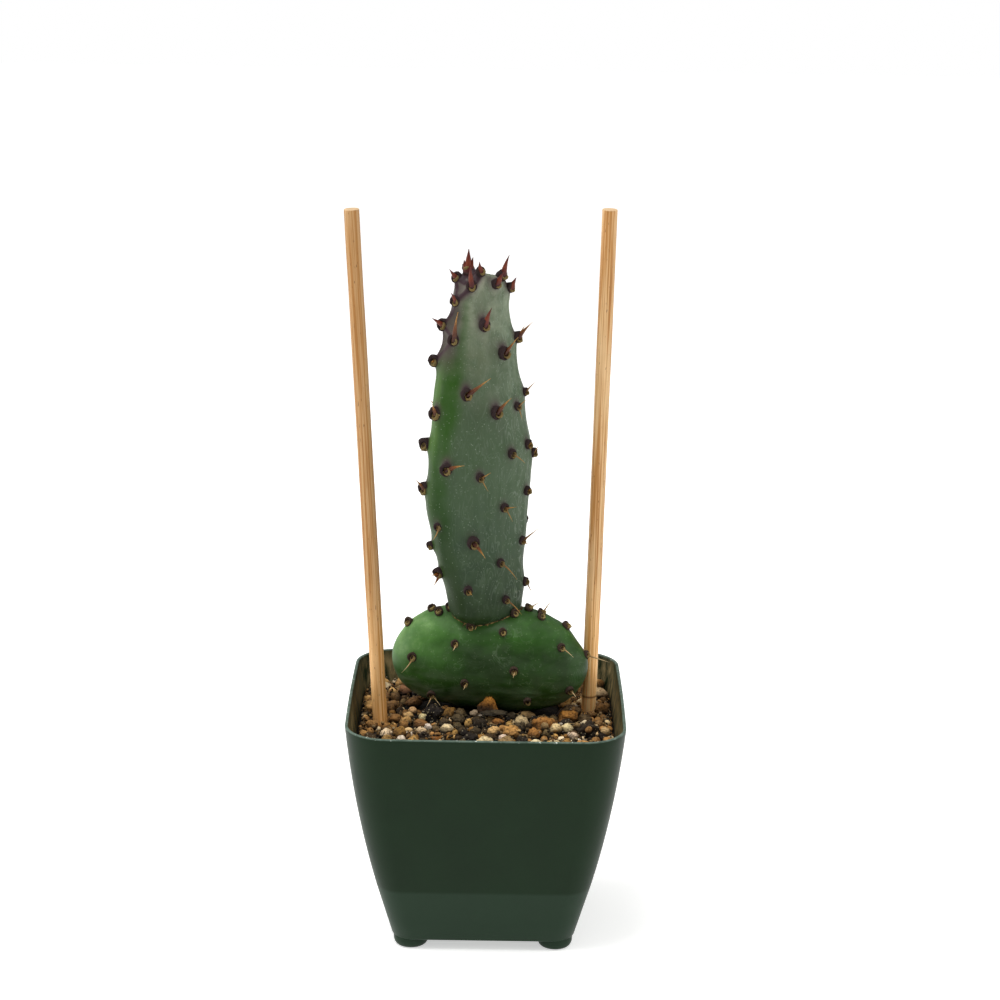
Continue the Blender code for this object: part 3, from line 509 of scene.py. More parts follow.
class AreoleSettings(bpy.types.PropertyGroup):
    rim: colour("Rim", "Dark felt round an areole", "#2b1b1b")
    felt: colour("Felt", "Olive felt inside an areole", "#57492c")
    wool: colour("Wool", "Cream bits at an areole's lower edge", "#cfbf92")
    bristles: IntProperty(name="Bristles", description="Fine bristles in each areole", default=7, min=0, max=20)


class SpineSettings(bpy.types.PropertyGroup):
    leaf: colour("Leaf", "Red-brown of the young leaves at the tip", "#4a1512")
    leaf_tip: colour("Leaf edge", "Orange of the leaves' upper part", "#6c2c14")
    stout: colour("Stout spine", "Red-brown of a stout spine's lower part", "#47200c")
    horn: colour("Horn", "Tan of a spine's tip", "#a87c38")
    bend: FloatProperty(
        name="Bend", description="How far a spine bows, as a share of its length", default=0.07, min=0, max=0.3
    )


class StakeSettings(bpy.types.PropertyGroup):
    wood: colour("Bamboo", "Colour of the split bamboo", "#b7844a")
    light: colour("Pale fibre", "Colour of its palest strips", "#dfbc8c")
    streak: colour("Streak", "Colour of its darker streaks", "#98642e")
    wander: length("Unevenness", "How far a stick's surface wanders from round", 0.00008, 0.0003)


class StageSettings(bpy.types.PropertyGroup):
    floor: colour("Floor", "Colour of the floor", "#f2f2f0")
    glow: FloatProperty(name="Glow", description="Light of the floor's own, as of a lit table", default=0.52, min=0)
    backdrop: colour("Backdrop", "Colour of the background", "#ffffff")
    overhead: power("Overhead", "Power of the ceiling of light", 280)
    top: power("Top light", "Power of the softbox above the soil", 7)
    key: power("Key light", "Power of the left-hand softbox", 6)
    fill: power("Fill light", "Power of the right-hand softbox", 3.7)
    air: FloatProperty(name="Air", description="Strength of the light from all round", default=0.22, min=0)


SETTINGS = {
    "prickly_pot": PotSettings,
    "prickly_soil": SoilSettings,
    "prickly_skin": SkinSettings,
    "prickly_areoles": AreoleSettings,
    "prickly_spines": SpineSettings,
    "prickly_stakes": StakeSettings,
    "prickly_stage": StageSettings,
}


# Meshes and pieces


def loft(rings, layer=None, values=None, closed_start=True, closed_end=True):
    """A skin through rings with equally many points, with one value for each ring in a float layer."""
    mesh = bmesh.new()
    bmesh.ops.create_circle(mesh, cap_ends=closed_start, segments=len(rings[0]), radius=1)
    order = mesh.verts.layers.int.new("order")
    mark = mesh.verts.layers.float.new(layer) if layer else None
    for i, vert in enumerate(mesh.verts):
        vert[order] = i
        vert.co = rings[0][i]
        if layer:
            vert[mark] = values[0]
    edges = list(mesh.edges)
    for number, ring in enumerate(rings[1:], 1):
        made = bmesh.ops.extrude_edge_only(mesh, edges=edges)["geom"]
        new = {item for item in made if isinstance(item, bmesh.types.BMVert)}
        edges = [item for item in made if isinstance(item, bmesh.types.BMEdge) and new.issuperset(item.verts)]
        for vert in new:
            vert.co = ring[vert[order]]
            if layer:
                vert[mark] = values[number]
    if closed_end:
        bmesh.ops.contextual_create(mesh, geom=edges)
    bmesh.ops.recalc_face_normals(mesh, faces=mesh.faces)
    mesh.verts.layers.int.remove(mesh.verts.layers.int["order"])
    return mesh


def add_part(whole, part):
    """Moves a part's mesh, with its layers, into a larger one."""
    loose = as_data("part", part)
    whole.from_mesh(loose)
    bpy.data.meshes.remove(loose)


def fill_layer(mesh, layer, value):
    """Gives all of a mesh's points one value in a float layer."""
    mark = mesh.verts.layers.float.get(layer) or mesh.verts.layers.float.new(layer)
    for vert in mesh.verts:
        vert[mark] = value


def as_data(name, mesh):
    """The mesh as Blender's data, which takes its place."""
    data = bpy.data.meshes.new(name)
    mesh.to_mesh(data)
    mesh.free()
    return data


def link_object(name, data):
    made = bpy.data.objects.new(name, data)
    bpy.context.scene.collection.objects.link(made)
    return made


def shade(data, sharp):
    """Smooth shading, but for edges sharper than this angle."""
    data.shade_smooth()
    data.set_sharp_from_angle(angle=math.radians(sharp))


def add_piece(name, mesh, material, slot, replaced=(), sharp=180):
    """Links a mesh as a smooth piece of the object, which rides on the root body."""
    data = as_data(name, mesh) if isinstance(mesh, bmesh.types.BMesh) else mesh
    shade(data, sharp)
    data.materials.append(material)
    piece = link_object(name, data)
    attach(piece, "root")
    if replaced:
        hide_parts(*replaced)
    return piece


def apply_modifiers(piece):
    """Puts what a piece's modifiers make of it in its mesh."""
    graph = bpy.context.evaluated_depsgraph_get()
    made = bpy.data.meshes.new_from_object(piece.evaluated_get(graph))
    piece.modifiers.clear()
    old = piece.data
    piece.data = made
    bpy.data.meshes.remove(old)


def read_points(data):
    points = np.empty(len(data.vertices) * 3, np.float32)
    data.vertices.foreach_get("co", points)
    return points.reshape(-1, 3).astype(float)


def write_points(data, points):
    data.vertices.foreach_set("co", points.astype(np.float32).ravel())
    data.update()


def write_layer(data, name, values):
    layer = data.attributes.new(name, "FLOAT", "POINT")
    layer.data.foreach_set("value", values.astype(np.float32))


# Materials


def add_node(tree, kind, out=None, stops=(), **facts):
    """Adds a node and gives its output of this name, or else its first.

    Facts with a capital are its inputs' values or links, with _ for a space and a tuple for inputs that share a
    name. The others are its settings. Stops are a ramp's (place, colour) pairs.
    """
    node = tree.nodes.new("ShaderNode" + kind)
    # Small letters sort last, so the settings come first: they decide which sockets are there
    for name in sorted(facts, reverse=True):
        value = facts[name]
        if name.islower():
            setattr(node, name, value)
            continue
        sockets = [socket for socket in node.inputs if socket.enabled and socket.name == name.replace("_", " ")]
        for socket, part in zip(sockets, value if len(sockets) > 1 else [value]):
            if isinstance(part, bpy.types.NodeSocket):
                tree.links.new(part, socket)
            else:
                socket.default_value = rgba(part) if socket.type == "RGBA" else part
    for number, (place, tone) in enumerate(stops):
        elements = node.color_ramp.elements
        stop = elements[number] if number < 2 else elements.new(place)
        stop.position, stop.color = place, rgba(tone)
    return next((socket for socket in node.outputs if socket.enabled and out in (None, socket.name)), None)


def new_material(name):
    """An empty material, what adds a node to it, and the Object coordinates that its patterns read."""
    material = bpy.data.materials.new(name)
    material.use_nodes = True
    material.node_tree.nodes.clear()
    add = functools.partial(add_node, material.node_tree)
    return material, add, add("TexCoord", "Object")


def finish_material(material, **facts):
    """Gives a material its shader with these inputs."""
    shader = add_node(material.node_tree, "BsdfPrincipled", **facts)
    add_node(material.node_tree, "OutputMaterial", Surface=shader)
    return material


def contour_lines(add, pattern, number, start, end, most):
    """Lines along this many contours of a pattern, from nothing at start of each rise to most at its end."""
    rise = add("Math", Value=(pattern, number), operation="MULTIPLY")
    wave = add("Math", Value=(rise, 1.0), operation="PINGPONG")
    return add("MapRange", Value=wave, From_Min=start, From_Max=end, To_Max=most)


def round_flecks(add, place, number, edge, core, most=1.0):
    """Round flecks, this many to the metre, from nothing at their edge to most at their core."""
    away = add("TexVoronoi", Vector=place, Scale=number)
    return add("MapRange", Value=away, From_Min=edge, From_Max=core, To_Max=most)


def made_uneven(add, value, pattern, most):
    """A value that a pattern moves up or down by this much at most, kept between 0 and 1."""
    shift = add("MapRange", Value=pattern, To_Min=-most, To_Max=most)
    return add("Math", Value=(value, shift), operation="ADD", use_clamp=True)


def pot_plastic(look):
    """Injection-moulded polypropylene, dark green: an even satin gloss, a scuffed pale lip, soil dust inside."""
    material, add, place = new_material("moulded polypropylene")
    height = add("SeparateXYZ", "Z", Vector=place)
    # Cloudy tone of regrind plastic, about 15 mm across
    cloud = add("TexNoise", Vector=place, Scale=65, Detail=3)
    dark, light = [[share * part for part in look.plastic] for share in (0.82, 1.2)]
    body = add("Mix", Factor=cloud, A=dark, B=light, data_type="RGBA")
    # The low band is a touch greyer, a painted reflection of its steeper wall, and its upper end is soft
    band = add("MapRange", Value=height, From_Min=POT_BAND_HEIGHT + 0.0006, From_Max=POT_BAND_HEIGHT - 0.0006)
    band_painted_reflection = add("Math", Value=(band, 0.28), operation="MULTIPLY")
    # Dried soil on the inner wall, thickest just above the bed
    inside = add("Attribute", "Fac", attribute_name="inside")
    upright = add("Mapping", Vector=place, Scale=(420, 420, 110))
    smear = add("TexNoise", Vector=upright, Scale=1, Detail=6, Roughness=0.65)
    dusty = add("MapRange", Value=smear, From_Min=0.38, From_Max=0.64, To_Max=0.85)
    low = add("MapRange", Value=height, From_Min=POT_HEIGHT + 0.001, From_Max=SOIL_LEVEL + 0.006)
    for share in (low, inside):
        dusty = add("Math", Value=(dusty, share), operation="MULTIPLY")
    # The lip's lighter edge: scuffs, and a painted highlight where light catches it, with a few white nicks about 0.8
    # mm long
    lip = add("MapRange", Value=height, From_Min=POT_HEIGHT - 0.0007, From_Max=POT_HEIGHT - 0.00025)
    scuff_and_highlight = add("TexNoise", Vector=place, Scale=380, Detail=4)
    worn = add("MapRange", Value=scuff_and_highlight, From_Min=0.25, From_Max=0.6, To_Min=0.35)
    nick = add("TexNoise", Vector=place, Scale=900, Detail=1)
    nicks = add("MapRange", Value=nick, From_Min=0.70, From_Max=0.74)
    worn, nicks = [add("Math", Value=(share, lip), operation="MULTIPLY") for share in (worn, nicks)]
    for share, coat in ((band_painted_reflection, "#34473a"), (dusty, look.stain), (worn, look.edge), (nicks, "#c9d2c8")):
        body = add("Mix", Factor=share, A=body, B=coat, data_type="RGBA")
    # Moulded satin: faint drawn streaks and a fine orange peel of about 0.5 mm
    gloss = add("MapRange", Value=smear, To_Min=0.36, To_Max=0.46)
    rough = add("Math", Value=(dusty, 0.4, gloss), operation="MULTIPLY_ADD")
    peel = add("TexNoise", Vector=place, Scale=2000, Detail=2)
    relief = add("Bump", Height=peel, Strength=0.06, Distance=0.0002)
    return finish_material(
        material, Base_Color=body, Roughness=rough, IOR=1.49, Specular_IOR_Level=0.12, Normal=relief
    )


def bamboo(look):
    """Split bamboo, turned round and sanded: pale strips, darker bundles along it, tiny dark pores."""
    material, add, _ = new_material("sanded bamboo")
    grain = add("Attribute", "Vector", attribute_name="grain")
    stick, along = [add("SeparateXYZ", axis, Vector=grain) for axis in "XZ"]
    # Fibre bundles about 0.5 mm wide and several centimetres long
    drawn = add("Mapping", Vector=grain, Scale=(1150, 1150, 14))
    bundles = add("TexNoise", Vector=drawn, Scale=1, Detail=4, Roughness=0.6)
    stops = [(0.33, look.streak), (0.44, look.wood), (0.54, look.light), (0.64, look.wood), (0.74, look.light)]
    tone = add("ValToRGB", stops=stops, Fac=bundles)
    # Broader warm and pale lengths, as the wall of the culm changes
    broad = add("Mapping", Vector=grain, Scale=(320, 320, 14))
    patches = add("TexNoise", Vector=broad, Scale=1, Detail=2)
    warm = add("MapRange", Value=patches, From_Min=0.48, From_Max=0.72, To_Max=0.45)
    # The left stick is the browner one
    older = add("MapRange", Value=stick, From_Min=0.020, From_Max=0.010, To_Max=0.48)
    # Pores and dirt specks, drawn a little larger than real so that they show
    short = add("Mapping", Vector=grain, Scale=(1900, 1900, 420))
    pores = add("TexNoise", Vector=short, Scale=1, Detail=1)
    specks = add("MapRange", Value=pores, From_Min=0.70, From_Max=0.78, To_Max=0.8)
    # The foot is paler, a painted light against the shade of the pot and the plant, node rings are brown, and the sawn
    # top is pale
    foot = add("MapRange", Value=along, From_Min=0.085, From_Max=0.035)
    node = add("Attribute", "Fac", attribute_name="node")
    sawn = add("MapRange", Value=along, From_Min=STAKE_LENGTH - 0.0004, From_Max=STAKE_LENGTH - 0.0001, To_Max=0.7)
    for share, coat, blend in (
        (warm, "#b0752f", "MIX"),
        (older, "#8f6028", "MIX"),
        (specks, "#5f3d1d", "MIX"),
        (foot, (1.88, 1.92, 1.85), "MULTIPLY"),
        (node, "#7a5026", "MIX"),
        (sawn, "#e0c299", "MIX"),
    ):
        tone = add("Mix", Factor=share, A=tone, B=coat, data_type="RGBA", blend_type=blend)
    relief = add("Bump", Height=bundles, Strength=0.25, Distance=0.0003)
    return finish_material(
        material, Base_Color=tone, Roughness=0.55, IOR=1.5, Specular_IOR_Level=0.35, Normal=relief
    )


def wax_skin(look):
    """Young cactus skin under a wax bloom: matt grey-green, rubbed green strips, purple round the areoles."""
    material, add, place = new_material("wax-bloomed cactus skin")
    paler, ridged, bare, margin, blush = [
        add("Attribute", "Fac", attribute_name=name) for name in ("paler", "ridged", "bare", "margin", "blush")
    ]
    height = add("SeparateXYZ", "Z", Vector=place)
    mottle = add("TexNoise", Vector=place, Scale=160, Detail=5, Roughness=0.6)
    # The bloom is paler towards the tip and slate at the foot
    risen = add("MapRange", Value=height, From_Min=0.112, From_Max=0.243)
    stops = [(0.0, "#22341b"), (0.22, "#31442f"), (0.39, "#3f5239"), (0.56, look.bloom), (0.66, "#55604a")]
    stops += [(0.73, "#59634c"), (0.80, "#79816b"), (0.92, look.bloom_light)]
    tone = add("ValToRGB", stops=stops, Fac=risen)
    cloud = add("MapRange", Value=mottle, From_Min=0.38, From_Max=0.62, To_Max=0.6)
    # Drawn lines in the wax: contours of a stretched noise, 3 mm apart and several times as long
    drawn = add("Mapping", Vector=place, Scale=(300, 300, 95))
    flow = add("TexNoise", Vector=drawn, Scale=1, Detail=2, Distortion=1.6)
    line = add("Math", Value=(contour_lines(add, flow, 9.0, 0.75, 1.0, 0.24), ridged), operation="MULTIPLY")
    # Green strips where the bloom is thin
    uneven = add("MapRange", Value=mottle, From_Min=0.2, From_Max=0.6, To_Min=0.6)
    bare = add("Math", Value=(bare, uneven), operation="MULTIPLY")
    rubbed = add("ValToRGB", stops=[(0.05, "#1a3009"), (0.30, "#1a3906"), (0.5, look.bare)], Fac=risen)
    # Pale stomata and flecks of wax, about 1.3 mm apart and drawn twice their size
    fleck = add("Math", Value=(round_flecks(add, place, 760, 0.20, 0.08, 0.38), mottle), operation="MULTIPLY")
    # Purple-brown round the areoles and at the tip
    purple = add("ValToRGB", stops=[(0.30, "#533f44"), (0.85, look.blush)], Fac=blush)
    amount = add("MapRange", Value=blush, From_Max=0.7)
    for share, coat in (
        # The front right's paler wax, with a painted sheen on it
        (paler, "#6f806a"),
        (cloud, "#3f5238"),
        (line, "#a3b0a0"),
        (bare, rubbed),
        # Lighter green along the left margin: a painted highlight
        (margin, look.margin),
        (fleck, "#b4c0ac"),
        (amount, purple),
    ):
        tone = add("Mix", Factor=share, A=tone, B=coat, data_type="RGBA")
    rough = add("MapRange", Value=mottle, To_Min=0.46, To_Max=0.58)
    pores = add("TexNoise", Vector=place, Scale=1500, Detail=3)
    grainy = add("Bump", Height=pores, Strength=0.12, Distance=0.0003)
    relief = add("Bump", Height=line, Strength=0.35, Distance=0.0006, Normal=grainy)
    return finish_material(
        material, Base_Color=tone, Roughness=rough, Specular_IOR_Level=0.26, Normal=relief, **MOIST_FLESH
    )


def old_skin(look):
    """Old cactus skin: smoother and deeper green, blotched, with a net of fine corky lines."""
    material, add, place = new_material("mature cactus skin")
    lit, bloomed, blush, wrinkled = [
        add("Attribute", "Fac", attribute_name=name) for name in ("lit", "bloomed", "blush", "wrinkled")
    ]
    mottle = add("TexNoise", Vector=place, Scale=120, Detail=5, Roughness=0.6)
    # Painted light and shade: the lit layer runs from shaded dark green to the lit shoulder's light green
    stops = [(0.0, "#1d370e"), (0.38, look.old), (0.75, "#4a7634"), (1.0, look.old_light)]
    tone = add("ValToRGB", stops=stops, Fac=made_uneven(add, lit, mottle, 0.5))
    # Grey wax bloom in soft level clouds, 8 mm by 3 mm, near the soil; being paler, it also paints fill light on the
    # shaded lower part
    spread = add("Mapping", Vector=place, Scale=(90, 90, 260))
    cloud = add("TexNoise", Vector=spread, Scale=1, Detail=3, Distortion=0.5)
    cloud = add("MapRange", Value=cloud, From_Min=0.40, From_Max=0.60)
    # A net of whitish lines about 5 mm across: contours of a warped noise
    flow = add("TexNoise", Vector=place, Scale=170, Detail=3, Distortion=1.4)
    line = contour_lines(add, flow, 8.0, 0.86, 1.0, 0.25)
    veil = add("MapRange", Value=mottle, From_Min=0.35, From_Max=0.65)
    fleck = round_flecks(add, place, 620, 0.18, 0.07, 0.30)
    # Shallow wrinkles where the pad shrinks towards the soil, 2 mm apart
    creased = add("Mapping", Vector=place, Scale=(60, 60, 420))
    crease = add("TexNoise", Vector=creased, Scale=1, Detail=3)
    bloomed, line, fleck, crease = [
        add("Math", Value=pair, operation="MULTIPLY")
        for pair in ((bloomed, cloud), (line, veil), (fleck, mottle), (crease, wrinkled))
    ]
    for share, coat in ((bloomed, "#55694c"), (line, "#8fa284"), (fleck, "#a9b88f"), (blush, "#2e2a1c")):
        tone = add("Mix", Factor=share, A=tone, B=coat, data_type="RGBA")
    pores = add("TexNoise", Vector=place, Scale=1300, Detail=3)
    grainy = add("Bump", Height=pores, Strength=0.10, Distance=0.0003)
    relief = add("Bump", Height=crease, Strength=0.5, Distance=0.0012, Normal=grainy)
    rough = add("MapRange", Value=mottle, To_Min=0.38, To_Max=0.52)
    return finish_material(
        material, Base_Color=tone, Roughness=rough, Specular_IOR_Level=0.25, Normal=relief, **MOIST_FLESH
    )


def areole_felt(look):
    """Dense plant felt: matt, fibrous, dark at the rim, olive within, cream where wool is shed."""
    material, add, place = new_material("areole felt")
    tone = add("Attribute", "Fac", attribute_name="tone")
    fibre = add("TexNoise", Vector=place, Scale=3200, Detail=4)
    stops = [(0.0, "#1d1113"), (0.22, look.rim), (0.5, look.felt), (0.72, "#83703f"), (1.0, look.wool)]
    body = add("ValToRGB", stops=stops, Fac=made_uneven(add, tone, fibre, 0.22))
    relief = add("Bump", Height=fibre, Strength=0.6, Distance=0.0003)
    return finish_material(material, Base_Color=body, Roughness=0.85, Specular_IOR_Level=0.3, Normal=relief)


def spine_horn(name, stops, roughness):
    """Horny spine: a smooth cone whose colour changes from its foot to its point."""
    material, add, place = new_material(name)
    along = add("Attribute", "Fac", attribute_name="along")
    mottle = add("TexNoise", Vector=place, Scale=1400, Detail=2)
    tone = add("ValToRGB", stops=stops, Fac=made_uneven(add, along, mottle, 0.2))
    relief = add("Bump", Height=mottle, Strength=0.15, Distance=0.0003)
    return finish_material(material, Base_Color=tone, Roughness=roughness, Specular_IOR_Level=0.3, Normal=relief)


def scar_cork():
    """Cork: dry, tan and cracked, where one pad grew out of the other."""
    material, add, place = new_material("scar cork")
    crack = add("TexNoise", Vector=place, Scale=900, Detail=4)
    tone = add("ValToRGB", stops=[(0.32, "#261f13"), (0.47, "#634a2b"), (0.64, "#b3945e")], Fac=crack)
    relief = add("Bump", Height=crack, Strength=0.5, Distance=0.0004)
    return finish_material(material, Base_Color=tone, Roughness=0.8, Specular_IOR_Level=0.3, Normal=relief)


def stone_mineral(name, pore_size, pore_shade, roughness, specks=0.0):
    """Dry stones or crumbs: each its own tint, which carries painted light on top and painted shade below, with pores
    of this size in metres, darkened as painted shade, and pale specks.
    """
    material, add, place = new_material(name)
    tint = add("Attribute", "Color", attribute_name="tint")
    pores = round_flecks(add, place, 1 / pore_size, 0.30, 0.12)
    grit = add("TexNoise", Vector=place, Scale=1400, Detail=5, Roughness=0.65)
    # Painted shade: the grit's low places and the pores are darkened with a dark mix of the tint
    dark = add("MapRange", Value=grit, From_Min=0.55, From_Max=0.30, To_Max=0.9 * pore_shade)
    pitted = add("Math", Value=(pores, pore_shade), operation="MULTIPLY")
    painted_hollow_shade = add("Math", Value=(pitted, dark), operation="MAXIMUM")
    deep = add("Mix", Factor=0.72, A=tint, B="#140d08", data_type="RGBA")
    # Winding cracks, 2 mm apart, darkened as painted shade, and specks of perlite, drawn twice their size
    winding = add("TexNoise", Vector=place, Scale=420, Detail=2, Distortion=1.2)
    cracks = contour_lines(add, winding, 6.0, 0.20, 0.02, 1.2 * pore_shade)
    spots = round_flecks(add, place, 900, 0.26, 0.14, specks)
    tone = tint
    for share, coat in ((painted_hollow_shade, deep), (cracks, deep), (spots, "#cfc19a")):
        tone = add("Mix", Factor=share, A=tone, B=coat, data_type="RGBA")
    height = grit
    for hollow in (pores, cracks):
        height = add("Math", Value=(height, hollow), operation="SUBTRACT")
    relief = add("Bump", Height=height, Strength=0.8, Distance=0.0005)
    return finish_material(material, Base_Color=tone, Roughness=roughness, Specular_IOR_Level=0.3, Normal=relief)


def damp_compost(look):
    """Fine damp compost between the stones: near black, crumbly, with lighter dust."""
    material, add, place = new_material("fine compost")
    crumb = add("TexNoise", Vector=place, Scale=700, Detail=6, Roughness=0.7)
    tone = add("ValToRGB", stops=[(0.35, "#070403"), (0.52, look.bed), (0.72, "#3a2a16")], Fac=crumb)
    relief = add("Bump", Height=crumb, Strength=0.8, Distance=0.0008)
    return finish_material(material, Base_Color=tone, Roughness=0.92, Specular_IOR_Level=0.25, Normal=relief)


# Pot


def pot_half(height):
    """Half the pot's outer width at a height: straight up the low band, then bowed out to the rim."""
    if height < POT_BAND_HEIGHT:
        part = (height - POT_FLOOR_HEIGHT) / (POT_BAND_HEIGHT - POT_FLOOR_HEIGHT)
        return (POT_BASE_WIDTH + (POT_BAND_WIDTH - POT_BASE_WIDTH) * part) / 2
    part = (height - POT_BAND_HEIGHT) / (POT_HEIGHT - POT_BAND_HEIGHT)
    bow = POT_SIDE_BOW * 4 * part * (1 - part)
    return (POT_BAND_WIDTH + (POT_RIM_WIDTH - POT_BAND_WIDTH) * part) / 2 + bow


def pot_corner(height):
    """The radius of the pot's corners at a height."""
    part = (height - POT_FLOOR_HEIGHT) / (POT_HEIGHT - POT_FLOOR_HEIGHT)
    return POT_BASE_CORNER + (POT_RIM_CORNER - POT_BASE_CORNER) * part


def pot_outline(height, inset=0.0, dip=0.0):
    """The pot's rounded square at a height, moved in by inset, its rim dipping here and there."""
    bulge = POT_RIM_BULGE * (height / POT_HEIGHT) ** 2
    half = pot_half(height) - inset
    corner = max(pot_corner(height) - inset, 0.001)
    flat = half - corner
    points = []
    for quarter in range(4):
        quarter_turn = Matrix.Rotation(math.radians(90 * quarter), 2)
        for step in range(CORNER_STEPS + 1):
            angle = math.radians(90 * step / CORNER_STEPS)
            points.append(quarter_turn @ Vector((flat + corner * math.cos(angle), flat + corner * math.sin(angle))))
        for step in range(1, SIDE_STEPS):
            points.append(quarter_turn @ Vector((flat - 2 * flat * step / SIDE_STEPS, half)))
    placed = []
    for x, y in points:
        out_x = bulge * abs(x / half) ** POT_BULGE_POWER * (1 - (y / half) ** 2)
        out_y = bulge * abs(y / half) ** POT_BULGE_POWER * (1 - (x / half) ** 2)
        wave = 0.5 + 0.5 * noise.noise(Vector((x * RIM_WAVES, y * RIM_WAVES, 3.1)))
        lowered = height - dip * wave * (height / POT_HEIGHT) ** RIM_FADE
        placed.append(Vector((x + math.copysign(out_x, x), y + math.copysign(out_y, y), lowered)))
    return placed


def circle(centre, radius, height, segments):
    """Points round a level circle."""
    middle = Vector((*centre, height))
    turns = [math.tau * i / segments for i in range(segments)]
    return [middle + radius * Vector((math.cos(turn), math.sin(turn), 0)) for turn in turns]


def pot_rings(look):
    """(rings, how far each is inside) up the outer wall, over the rolled lip and down the inner wall."""
    rounding, lip, dip = POT_FLOOR_ROUNDING, look.lip, look.dip
    rings = [
        pot_outline(POT_FLOOR_HEIGHT + rounding * (1 - math.cos(t)), rounding * (1 - math.sin(t)))
        for t in ROUNDING_TURNS
    ]
    rings += [pot_outline(POT_BAND_HEIGHT * part + (POT_FLOOR_HEIGHT + rounding) * (1 - part)) for part in BAND_PARTS]
    rings += [pot_outline(POT_BAND_HEIGHT - POT_BAND_SOFTNESS), pot_outline(POT_BAND_HEIGHT + POT_BAND_SOFTNESS)]
    low, high = POT_BAND_HEIGHT + 2 * POT_BAND_SOFTNESS, POT_HEIGHT - lip
    rings += [pot_outline(low + (high - low) * step / WALL_STEPS, 0, dip) for step in range(WALL_STEPS + 1)]
    turns = [math.pi * step / (2 * LIP_STEPS) for step in range(1, LIP_STEPS + 1)]
    rings += [pot_outline(high + lip * math.sin(t), lip * (1 - math.cos(t)), dip) for t in turns]
    outer = len(rings)
    rings += [pot_outline(high + lip * math.cos(t), POT_WALL - lip * (1 - math.sin(t)), dip) for t in turns]
    fall = POT_FLOOR_HEIGHT + POT_WALL - high
    rings += [pot_outline(high + fall * step / WALL_STEPS, POT_WALL, dip) for step in range(1, WALL_STEPS + 1)]
    return rings, [0.0] * outer + [1.0] * (len(rings) - outer)


class PRICKLY_OT_make_pot(bpy.types.Operator):
    """Builds the square nursery pot with its lip, feet and drain holes"""

    bl_idname = "prickly.make_pot"
    bl_label = "Pot"

    def execute(self, context):
        look = context.scene.prickly_pot
        rings, inside = pot_rings(look)
        plastic = pot_plastic(look)
        pot = add_piece("pot_shell", loft(rings, "inside", inside), plastic, "pot", ["pot"])
        feet, drains = bmesh.new(), bmesh.new()
        for x, y in ((-1, -1), (-1, 1), (1, -1), (1, 1)):
            centre = (x * FOOT_PLACE, y * FOOT_PLACE)
            foot = [circle(centre, 0.9 * FOOT_RADIUS, POT_FLOOR_HEIGHT + 0.85 * POT_WALL, FOOT_SEGMENTS)]
            for wide, high in FOOT_PROFILE:
                foot.append(circle(centre, wide * FOOT_RADIUS, high * POT_FLOOR_HEIGHT, FOOT_SEGMENTS))
            add_part(feet, loft(foot, "inside", [0.0] * len(foot)))
        for x, y in ((0, 0), (1, 0), (0, 1), (-1, 0), (0, -1)):
            place = Matrix.Translation((x * DRAIN_PLACE, y * DRAIN_PLACE, POT_FLOOR_HEIGHT))
            size = {"radius1": DRAIN_RADIUS, "radius2": DRAIN_RADIUS, "depth": 6 * POT_WALL}
            bmesh.ops.create_cone(drains, cap_ends=True, segments=DRAIN_SEGMENTS, matrix=place, **size)
        for name, tool, operation in (("feet", feet, "UNION"), ("drains", drains, "DIFFERENCE")):
            data = as_data(name, tool)
            helper = link_object(name, data)
            joined = pot.modifiers.new(name, "BOOLEAN")
            joined.operation = operation
            joined.solver = "EXACT"
            joined.object = helper
            apply_modifiers(pot)
            bpy.data.objects.remove(helper)
            bpy.data.meshes.remove(data)
        shade(pot.data, SHARP_ANGLE)
        return {"FINISHED"}


# Soil


def soil_level(x, y):
    """The bed's height: lowest at the walls, heaped round the plant."""
    reach = np.minimum(np.maximum(np.abs(x), np.abs(y)) / pot_half(SOIL_LEVEL), 1)
    return SOIL_LEVEL - SOIL_SINK + SOIL_MOUND * (1 - reach**2)


def wall_distance(x, y, height):
    """How far a place is inside the pot's inner wall."""
    corner = pot_corner(height) - POT_WALL
    flat = pot_half(height) - POT_WALL - corner
    beyond_x, beyond_y = abs(x) - flat, abs(y) - flat
    outside = math.hypot(max(beyond_x, 0), max(beyond_y, 0)) + min(max(beyond_x, beyond_y), 0)
    return corner - outside


def soil_bed():
    """The compost that fills the pot, crumbly on top."""
    inset = POT_WALL + GAP
    floor = POT_FLOOR_HEIGHT + POT_WALL + GAP
    rings = [pot_outline(floor, inset + SOIL_FLOOR_INSET), pot_outline(floor + SOIL_FLOOR_INSET, inset)]
    for part in (0.0, 0.25, 0.5, 0.75):
        rings.append(pot_outline(POT_BAND_HEIGHT * (1 - part) + SOIL_LEVEL * part, inset))
    rim = pot_outline(SOIL_LEVEL - SOIL_SINK, inset)
    for step in range(SOIL_RINGS):
        share = 1 - step / SOIL_RINGS
        ring = []
        for point in rim:
            x, y = point.x * share, point.y * share
            crumb = sum(high * noise.noise(Vector((x, y, i)) * waves) for i, (waves, high) in enumerate(BED_CRUMBS))
            rough = SOIL_ROUGHNESS * crumb * min(1, 4 * (1 - share))
            ring.append(Vector((x, y, float(soil_level(x, y)) + rough)))
        rings.append(ring)
    return loft(rings)


